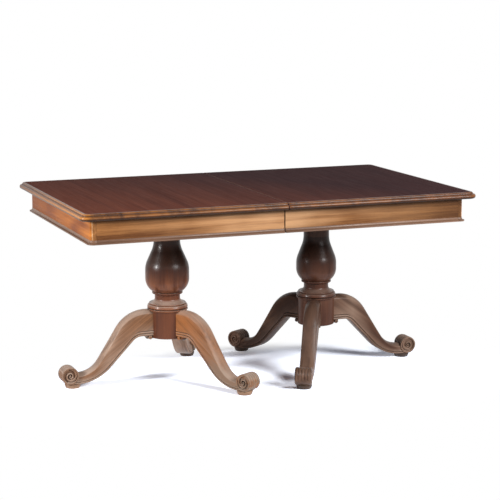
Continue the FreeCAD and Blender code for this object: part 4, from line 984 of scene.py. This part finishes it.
# The left outer and back legs are darker towards the scroll.
LEFT_SCROLL_DARKENING = ((leg_reach - 60.0, 0.0), (leg_reach - 20.0, 0.38))
RIGHT_RUB = ((LEG_ROOT, 0.0), (200.0, 0.1), (leg_reach - 60.0, 0.35))
LEG_MARKS = {
    "left_outer": (LEFT_RUB, LEFT_SCROLL_DARKENING),
    "left_front": (((120.0, 0.0), (190.0, 0.9), (leg_reach - 10.0, 0.9), (leg_reach + 25.0, 1.8)),
                   ((170.0, 0.0), (230.0, 0.12), (leg_reach - 20.0, 0.04))),
    "left_back": (LEFT_RUB, LEFT_SCROLL_DARKENING),
    "right_outer": (((LEG_ROOT, 0.12), (155.0, 0.75), (240.0, 0.0), (leg_reach - 60.0, 0.0),
                     (leg_reach, 0.5)),
                    ((200.0, 0.0), (300.0, 0.12), (leg_reach - 40.0, 0.0))),
    # Painted shade: near the hub these two legs are darkened, a painted shadow of the top.
    "right_front": (RIGHT_RUB, ((LEG_ROOT, 0.65), (280.0, 0.25), (350.0, 0.0))),
    "right_back": (RIGHT_RUB, ((LEG_ROOT, 0.1), (230.0, 0.0))),
}
for side in SIDES:
    for name in LEGS:
        rubbed, darkening_stops = LEG_MARKS[f"{side}_{name}"]
        axis = middle(f"{side}_column")
        foot = middle(f"{side}_{name}_pad") - axis
        place = Matrix.Translation(axis) @ Matrix.Rotation(math.atan2(foot.y, foot.x), 4, "Z")
        mesh = mesh_of(f"{side}_{name}_leg", leg_shells)
        mark(mesh, "wear_and_light", [graded(vert.co.x / MM, rubbed) for vert in mesh.vertices])
        mark(mesh, "shade_and_grime", [graded(vert.co.x / MM, darkening_stops) for vert in mesh.vertices])
        leg = wooden(f"{side}_{name}_leg", "carved", mesh, plank, place)
        print(leg.name, len(leg.data.polygons), "faces")

# %% [markdown]
# ## Foot pads
#
# A low turned pad lifts each scroll off the floor. It flares a little and has an eased upper edge.

# %% Turn the pads
PAD_SEGMENTS = 72
PAD_STEPS = 6
PAD_BORE = 5.15
PAD_BORE_DEPTH = 6.0
PAD_OUTLINE = [(0, PAD_BORE_DEPTH), (PAD_BORE, PAD_BORE_DEPTH), (PAD_BORE, 0.0), (26.9, 0.0), (28.0, 1.2),
               (31.5, 11.0, 6.0), (31.5, 16.0, 1.7), (0, 16.0)]
for side in SIDES:
    for name in LEGS:
        node = f"{side}_{name}_pad"
        mesh = mesh_of(node, [turned(rounded(PAD_OUTLINE, steps=PAD_STEPS), PAD_SEGMENTS)])
        wooden(node, "turned", mesh, ALONG["x"], Matrix.Translation(middle(node)))
print("six pads")

# %% [markdown]
# ## The two halves of the top
#
# Three sides of each half carry the same moulding: a half-round nose below, a sunk step, and an ovolo
# above. The outline of the half is drawn once for each point of that moulding, moved in from the nose by
# the point's inset, with the corner's rounding shrinking to match. The crests are painted paler, partly the
# wear that sleeves have rubbed into them and partly a painted highlight, most at the corners and towards
# the front left end, and the step and the underside of the nose are painted darker, a painted shade.
# Three pegs in the left half slide into holes in the right one. A Boolean modifier bores them, as a drill
# would: it takes the shape of the bits away from the end of the board.

# %% Mould the tops
CORNER = 36.0
NOSE = 18.5
NOSE_ROUND = 9.1
STEP_IN = NOSE_ROUND + 1.4
OVOLO = 7.0
TOP_THICK = 26.0
FLAT_FROM = 22.0
MIDDLE_FROM = 60.0
MOULDING_STEPS = 9
EDGE_PARTS = 48
CORNER_PARTS = 14
LEAST_CORNER = 1.0
NOSE_CREST = 2.5
OVOLO_CREST = (6.0, 4.0)
WEAR_END = 4.0
UNDER_STOPS = ((NOSE * 0.2, 1.0), (NOSE * 0.6, 0.0))
STEP_LEVELS = (NOSE - 1.0, NOSE + 4.0)
EDGE_WEAR = 0.15
# Crests painted paler, wear with a painted highlight, most at the corners.
CREST_WEAR_AND_HIGHLIGHT = 0.45
CORNER_WEAR_AND_HIGHLIGHT = 2.0
# Painted shade under the nose and in the sunk step.
UNDER_NOSE_SHADE = 0.9
STEP_SHADE = 0.4
WEAR_AND_HIGHLIGHT_REACH = Vector((1.6, 0.45))
LEAST_WEAR_AND_HIGHLIGHT = 0.12
JOINT_EASE = 0.9 * MM
PEG_RADIUS = 5.0
PEG_HOLE_RADIUS = PEG_RADIUS + 0.3
PEG_HOLE_DEPTH = 22.0
DRILL_START = -6.0
DRILL_PARTS = 32


def top_loop(inset, length, half):
    """The outline of a half top, moved in from its nose, from the front of the joint round to the back."""
    turn = max(CORNER - inset, LEAST_CORNER)
    end, side = length - inset, half - inset
    loop = [Vector(((end - turn) * step / EDGE_PARTS, -side)) for step in range(EDGE_PARTS)]
    for centre, start in (((end - turn, turn - side), -math.pi / 2), ((end - turn, side - turn), 0.0)):
        for step in range(CORNER_PARTS + 1):
            angle = start + math.pi / 2 * step / CORNER_PARTS
            loop.append(Vector(centre) + Vector((math.cos(angle), math.sin(angle))) * turn)
    loop += [Vector(((end - turn) * (1 - step / EDGE_PARTS), side)) for step in range(1, EDGE_PARTS + 1)]
    return loop


def edge_marks(inset, level):
    """Paler marks of wear and painted highlight, and darker marks of painted shade, at a point of the
    moulding.
    """
    on_nose = inset < NOSE_CREST and level > NOSE / 2
    on_ovolo = STEP_IN < inset < FLAT_FROM - OVOLO_CREST[0] and level > TOP_THICK - OVOLO_CREST[1]
    edge_worn = EDGE_WEAR if inset < FLAT_FROM - WEAR_END else 0.0
    under = graded(level, UNDER_STOPS) if inset < FLAT_FROM else 0.0
    in_step = inset > NOSE_ROUND and STEP_LEVELS[0] < level < STEP_LEVELS[1]
    return CREST_WEAR_AND_HIGHLIGHT if on_nose or on_ovolo else edge_worn, max(UNDER_NOSE_SHADE * under, STEP_SHADE * in_step)


def wear_and_highlight_share(spot):
    """The share of wear and painted highlight at a spot of the edge: all at the front left corner, least
    far from it.
    """
    away = Vector((spot.x - cad_low.x, spot.y - cad_low.y))
    return max(LEAST_WEAR_AND_HIGHLIGHT, 1 - away.x / WEAR_AND_HIGHLIGHT_REACH.x - away.y / WEAR_AND_HIGHLIGHT_REACH.y)


def half_top(length, half):
    """A half top from x 0: points, faces, each point's paler and darker painted marks, and how many faces
    are moulded.
    """
    corners = [(FLAT_FROM, 0), (0, 0, NOSE_ROUND), (0, NOSE, NOSE_ROUND), (STEP_IN, NOSE),
               (STEP_IN, TOP_THICK, OVOLO), (FLAT_FROM, TOP_THICK), (MIDDLE_FROM, TOP_THICK)]
    moulding = rounded(corners, steps=MOULDING_STEPS)
    rows, wear_and_light, shade_and_grime = [], [], []
    for inset, level in moulding:
        loop = top_loop(inset, length, half)
        rows.append([Vector((point.x, point.y, level)) for point in loop])
        worn_and_lit, nose_and_step_shade = edge_marks(inset, level)
        corner = [EDGE_PARTS <= number < len(loop) - EDGE_PARTS and abs(point.x - length) < 2 * CORNER
                  and half - abs(point.y) < 2 * CORNER for number, point in enumerate(loop)]
        wear_and_light += [min(1.0, worn_and_lit * CORNER_WEAR_AND_HIGHLIGHT) if turned_corner else worn_and_lit for turned_corner in corner]
        shade_and_grime += [nose_and_step_shade] * len(loop)
    points, faces = skin(rows, wrapped=False)
    count = len(rows[0])
    faces.append(tuple(reversed(range(count))))
    faces.append(tuple(range(len(points) - count, len(points))))
    starts = [row * count for row in range(len(rows))]
    faces.append(tuple(starts + [start + count - 1 for start in reversed(starts)]))
    return points, faces, wear_and_light, shade_and_grime, (len(rows) - 2) * (count - 1)


def ease_joint(mesh):
    """Take the arris off the end of a half top where the halves meet."""
    solid = bmesh.new()
    solid.from_mesh(mesh)
    solid.normal_update()
    arris = [edge for edge in solid.edges if all(abs(vert.co.x) < MERGE for vert in edge.verts)]
    bmesh.ops.bevel(solid, geom=arris, offset=JOINT_EASE, segments=2, profile=0.5, affect="EDGES")
    solid.to_mesh(mesh)
    solid.free()


def peg_holes():
    """The shape of the drill bits: one lying along X at the place of each peg."""
    low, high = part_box("alignment_pegs")
    bit = turned([(0, DRILL_START), (PEG_HOLE_RADIUS, DRILL_START), (PEG_HOLE_RADIUS, PEG_HOLE_DEPTH),
                  (0, PEG_HOLE_DEPTH)], DRILL_PARTS)
    lying = Matrix.Rotation(math.pi / 2, 3, "Y")
    outermost = (high.y - low.y) / 2 / MM - PEG_RADIUS
    bits = []
    for across in (-outermost, 0.0, outermost):
        place = Vector((0, across, TOP_THICK / 2))
        bits.append(([lying @ point + place for point in bit[0]], bit[1]))
    return mesh_of("drill_bits", bits)


def bored(mesh, bits):
    """The mesh with the bits' shape cut out of it."""
    board = put_in(mesh)
    drill = put_in(bits)
    cut = board.modifiers.new("bore", "BOOLEAN")
    cut.operation = "DIFFERENCE"
    cut.solver = "EXACT"
    cut.object = drill
    result = settled(board, cut)
    bpy.data.objects.remove(drill)
    return result


for side in SIDES:
    node = f"{side}_top"
    low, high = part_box(node)
    points, faces, wear_and_light, shade_and_grime, moulded = half_top((high.x - low.x) / MM, (high.y - low.y) / 2 / MM)
    mesh = mesh_of(node, [(points, faces)])
    turn = Matrix.Rotation(math.pi if side == "left" else 0.0, 4, "Z")
    joint = Matrix.Translation((high.x if side == "left" else low.x, 0, low.z))
    mark(mesh, "wear_and_light", [worn_and_lit * wear_and_highlight_share(joint @ turn @ vert.co) for worn_and_lit, vert in zip(wear_and_light, mesh.vertices)])
    mark(mesh, "shade_and_grime", shade_and_grime)
    numbers = [int(face < moulded) for face in range(len(mesh.polygons))]
    mesh.polygons.foreach_set("material_index", numbers)
    ease_joint(mesh)
    if side == "right":
        mesh = bored(mesh, peg_holes())
    wooden(node, "moulded", mesh, ALONG["y"], joint @ turn, second="top_edge")
    print(node, len(mesh.polygons), "faces")

# %% [markdown]
# ## Rails, mouldings and everything underneath
#
# The rails, base mouldings, glue blocks, battens, caps, slides, keys and pegs have the right shape
# already. What they lack is the small bevel that a plane or sandpaper leaves, which is what catches the
# light. So each is copied, its loose triangles are merged into whole faces, and its arrises are bevelled.
# The long rails are paler towards the joint and darker towards their outer ends, the right ones most, the
# end rails are veneered where they show in front and are paler towards the front, a painted shadow of the
# top darkens the rails just under it, and painted shade darkens the faces in the gap between the halves.

# %% Plane the boards
ARRIS = math.radians(50)
ARRIS_BEVEL = 0.0008
BEVEL_PROFILE = 0.6
SQUARE_ON = 0.8
FLAT = math.radians(0.6)
WELD = 1e-5
# The end rails are paler towards the front, the long rails towards the joint, and darker towards their
# outer ends.
FRONT_PALING = 1.0
PALING_POWER = 3
VENEER = 0.002
JOINT_PALING = 0.5
END_DARKENING = {"left": 0.05, "right": 0.65}
# Painted shade on the faces in the gap between the halves.
JOINT_GAP_SHADE = 0.9
JOINT_REACH = 0.00201
# Painted shadow of the top on the rails just under it.
UNDER_TOP_SHADOW = ((0.0, 0.85), (0.011, 0.65), (0.018, 0.15), (0.045, 0.0))


def planed(node):
    """A copy of a node's solid with its arrises taken off."""
    mesh = frame["nodes"][node].data.copy()
    solid = bmesh.new()
    solid.from_mesh(mesh)
    bmesh.ops.remove_doubles(solid, verts=solid.verts, dist=WELD)
    bmesh.ops.dissolve_limit(solid, angle_limit=FLAT, verts=solid.verts, edges=solid.edges)
    arrises = [edge for edge in solid.edges if edge.is_manifold and edge.calc_face_angle(0.0) > ARRIS]
    bmesh.ops.bevel(solid, geom=arrises, offset=ARRIS_BEVEL, segments=2, profile=BEVEL_PROFILE,
                    affect="EDGES", clamp_overlap=True)
    low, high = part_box(node)
    # Cuts that carry the painted shadow of the top down the rails.
    if node.endswith("apron"):
        for stop in UNDER_TOP_SHADOW[1:]:
            parts = solid.verts[:] + solid.edges[:] + solid.faces[:]
            bmesh.ops.bisect_plane(solid, geom=parts, plane_co=(0, 0, high.z - stop[0]), plane_no=(0, 0, 1))
    solid.to_mesh(mesh)
    solid.free()
    longest = max("xyz", key=lambda letter: getattr(high - low, letter))
    end_darkening = END_DARKENING.get(node.split("_")[0])
    # Painted shadow of the top, darkest just under it.
    shade_and_soil = [graded(high.z - vert.co.z, UNDER_TOP_SHADOW) for vert in mesh.vertices]
    if node.endswith("end_apron"):
        depth = [(high.y - vert.co.y) / (high.y - low.y) for vert in mesh.vertices]
        ends = [share < VENEER or share > 1 - VENEER for share in depth]
        paling = [FRONT_PALING * share ** PALING_POWER for share in depth]
        mark(mesh, "wear_and_light", [0.0 if end else share for share, end in zip(paling, ends)])
        mark(mesh, "shade_and_grime", [max(top_shade, end_darkening if end else 0.0) for top_shade, end in zip(shade_and_soil, ends)])
        square = [int(abs(face.normal.y) > SQUARE_ON) for face in mesh.polygons]
        mesh.polygons.foreach_set("material_index", square)
    elif node.endswith("apron"):
        outward = [abs(vert.co.x) / max(high.x, -low.x) for vert in mesh.vertices]
        mark(mesh, "wear_and_light", [JOINT_PALING * (1 - share) for share in outward])
        shade_and_soil = [max(top_shade, end_darkening * share) for top_shade, share in zip(shade_and_soil, outward)]
    if node.endswith(("front_apron", "back_apron", "front_moulding", "back_moulding")):
        # Painted shade on the faces in the gap between the halves.
        meeting = [JOINT_GAP_SHADE if abs(vert.co.x) < JOINT_REACH else 0.0 for vert in mesh.vertices]
        kept = shade_and_soil if node.endswith("apron") else [0.0] * len(shade_and_soil)
        mark(mesh, "shade_and_grime", [max(top_shade, end) for top_shade, end in zip(kept, meeting)])
    veneer = "apron_wood" if node.endswith("end_apron") else None
    wooden(node, "planed", mesh, ALONG[longest], second=veneer)


bare = [node for node in SLOT_OF if SLOT_OF[node] in FINISH and not frame["nodes"][node].hide_render]
boards = [node for node in bare if SLOT_OF[node] not in ("iron", "steel", "brass")]
for node in boards:
    planed(node)
print(len(boards), "planed pieces")

# %% [markdown]
# ## Screws
#
# The screws repeat by the dozen, so Geometry Nodes set them: a tree builds one slotted screw from a few
# sizes and puts a copy on every point of a mesh, each turned by its own seeded angle. The points are read
# from the frame, where each screw's solid stands.

# %% Drive the screws
SCREW_SIZES = {"Head Radius": 5.0 * MM, "Head Height": 3.0 * MM, "Shank Radius": 2.5 * MM,
               "Slot Width": 1.2 * MM, "Seed": 7}
SCREW_GAP = 0.5 * MM
HEAD_TAPER = 0.86
HEAD_SIDES = 28
SHANK_SIDES = 16
SLOT_RUN = 3.0
SLOT_RISE = -0.1
SAME_SCREW = 2.5 * SCREW_SIZES["Head Radius"]


def screw_tree():
    """A node tree that stands a slotted screw, head down, on every point."""
    tree = geometry_tree("slotted_screws", {
        "Seats": "Geometry", "Head Radius": "Float", "Head Height": "Float", "Shank Radius": "Float",
        "Shank Length": "Float", "Slot Width": "Float", "Seed": "Int", "Finish": "Material"}, "Screws")
    size = add(tree, "NodeGroupInput").outputs

    def moved_up(shape, rise):
        upward = add(tree, "ShaderNodeCombineXYZ", {2: rise}).outputs[0]
        return add(tree, "GeometryNodeTransform", {"Geometry": shape.outputs[0], "Translation": upward})

    head = add(tree, "GeometryNodeMeshCone", {
        "Vertices": HEAD_SIDES, "Radius Top": size["Head Radius"], "Depth": size["Head Height"],
        "Radius Bottom": reckon(tree, "MULTIPLY", size["Head Radius"], HEAD_TAPER)})
    slot_size = add(tree, "ShaderNodeCombineXYZ", {
        0: reckon(tree, "MULTIPLY", size["Head Radius"], SLOT_RUN), 1: size["Slot Width"],
        2: size["Head Height"]})
    slot = add(tree, "GeometryNodeMeshCube", {"Size": slot_size.outputs[0]})
    sunk = moved_up(slot, reckon(tree, "MULTIPLY", size["Head Height"], SLOT_RISE))
    slotted = add(tree, "GeometryNodeMeshBoolean", {"Mesh 1": head.outputs[0], "Mesh 2": sunk.outputs[0]},
                  operation="DIFFERENCE")
    shank = add(tree, "GeometryNodeMeshCylinder", {
        "Vertices": SHANK_SIDES, "Radius": size["Shank Radius"], "Depth": size["Shank Length"]})
    half_shank = reckon(tree, "MULTIPLY", size["Shank Length"], 0.5)
    raised = moved_up(shank, reckon(tree, "ADD", size["Head Height"], half_shank))
    screw = add(tree, "GeometryNodeJoinGeometry")
    tree.links.new(slotted.outputs[0], screw.inputs[0])
    tree.links.new(raised.outputs[0], screw.inputs[0])
    spin = add(tree, "FunctionNodeRandomValue", {"Max": math.pi, "Seed": size["Seed"]}, data_type="FLOAT")
    turn = add(tree, "ShaderNodeCombineXYZ", {2: spin.outputs[1]})
    standing = add(tree, "GeometryNodeInstanceOnPoints", {
        "Points": size["Seats"], "Instance": screw.outputs[0], "Rotation": turn.outputs[0]})
    whole = add(tree, "GeometryNodeRealizeInstances", {"Geometry": standing.outputs[0]})
    finished = add(tree, "GeometryNodeSetMaterial", {"Geometry": whole.outputs[0],
                                                     "Material": size["Finish"]})
    add(tree, "NodeGroupOutput", {"Screws": finished.outputs[0]})
    return tree


def screw_seats(node):
    """The middle of the underside of each screw of a node, and how long a screw is."""
    low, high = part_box(node)
    spots = []
    for vert in frame["nodes"][node].data.vertices:
        if vert.co.z - low.z < WELD:
            for group in spots:
                if (group[0] - vert.co).length < SAME_SCREW:
                    group.append(vert.co.copy())
                    break
            else:
                spots.append([vert.co.copy()])
    seats = []
    for group in spots:
        wide = [sorted(getattr(spot, letter) for spot in group) for letter in "xy"]
        seats.append(Vector(((wide[0][0] + wide[0][-1]) / 2, (wide[1][0] + wide[1][-1]) / 2, low.z)))
    return seats, high.z - low.z


screws = screw_tree()
for node in [node for node in SLOT_OF if node.endswith("_screws")]:
    seats, length = screw_seats(node)
    points = bpy.data.meshes.new(f"{node}_seats")
    points.from_pydata(seats, [], [])
    sizes = dict(SCREW_SIZES)
    sizes["Shank Length"] = length - SCREW_SIZES["Head Height"] - SCREW_GAP
    sizes["Finish"] = FINISH[SLOT_OF[node]]
    seated(node, "slotted", grown(screws, points, sizes))
    print(node, len(seats), "screws")

# %% [markdown]
# ## Metalwork
#
# The brass hooks, pivots and keeper pins and the iron plates under the hubs are simple flat or round metal.
# Their solids stay as they are and only take a finish.

# %% Finish the metal
for node, thing in frame["nodes"].items():
    if not thing.hide_render:
        thing.data.materials.clear()
        thing.data.materials.append(FINISH[SLOT_OF[node]])
        print(node, "takes", FINISH[SLOT_OF[node]].name)

# %% [markdown]
# ## Measure and finish
#
# The dressed table must not outgrow its joinery, so the box of the bare frame and the box of the finished
# pieces are printed side by side.

# %% Measure and finish
low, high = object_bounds()
print("joinery", [round(value, 4) for value in cad_high - cad_low])
print("dressed", [round(value, 4) for value in high - low])
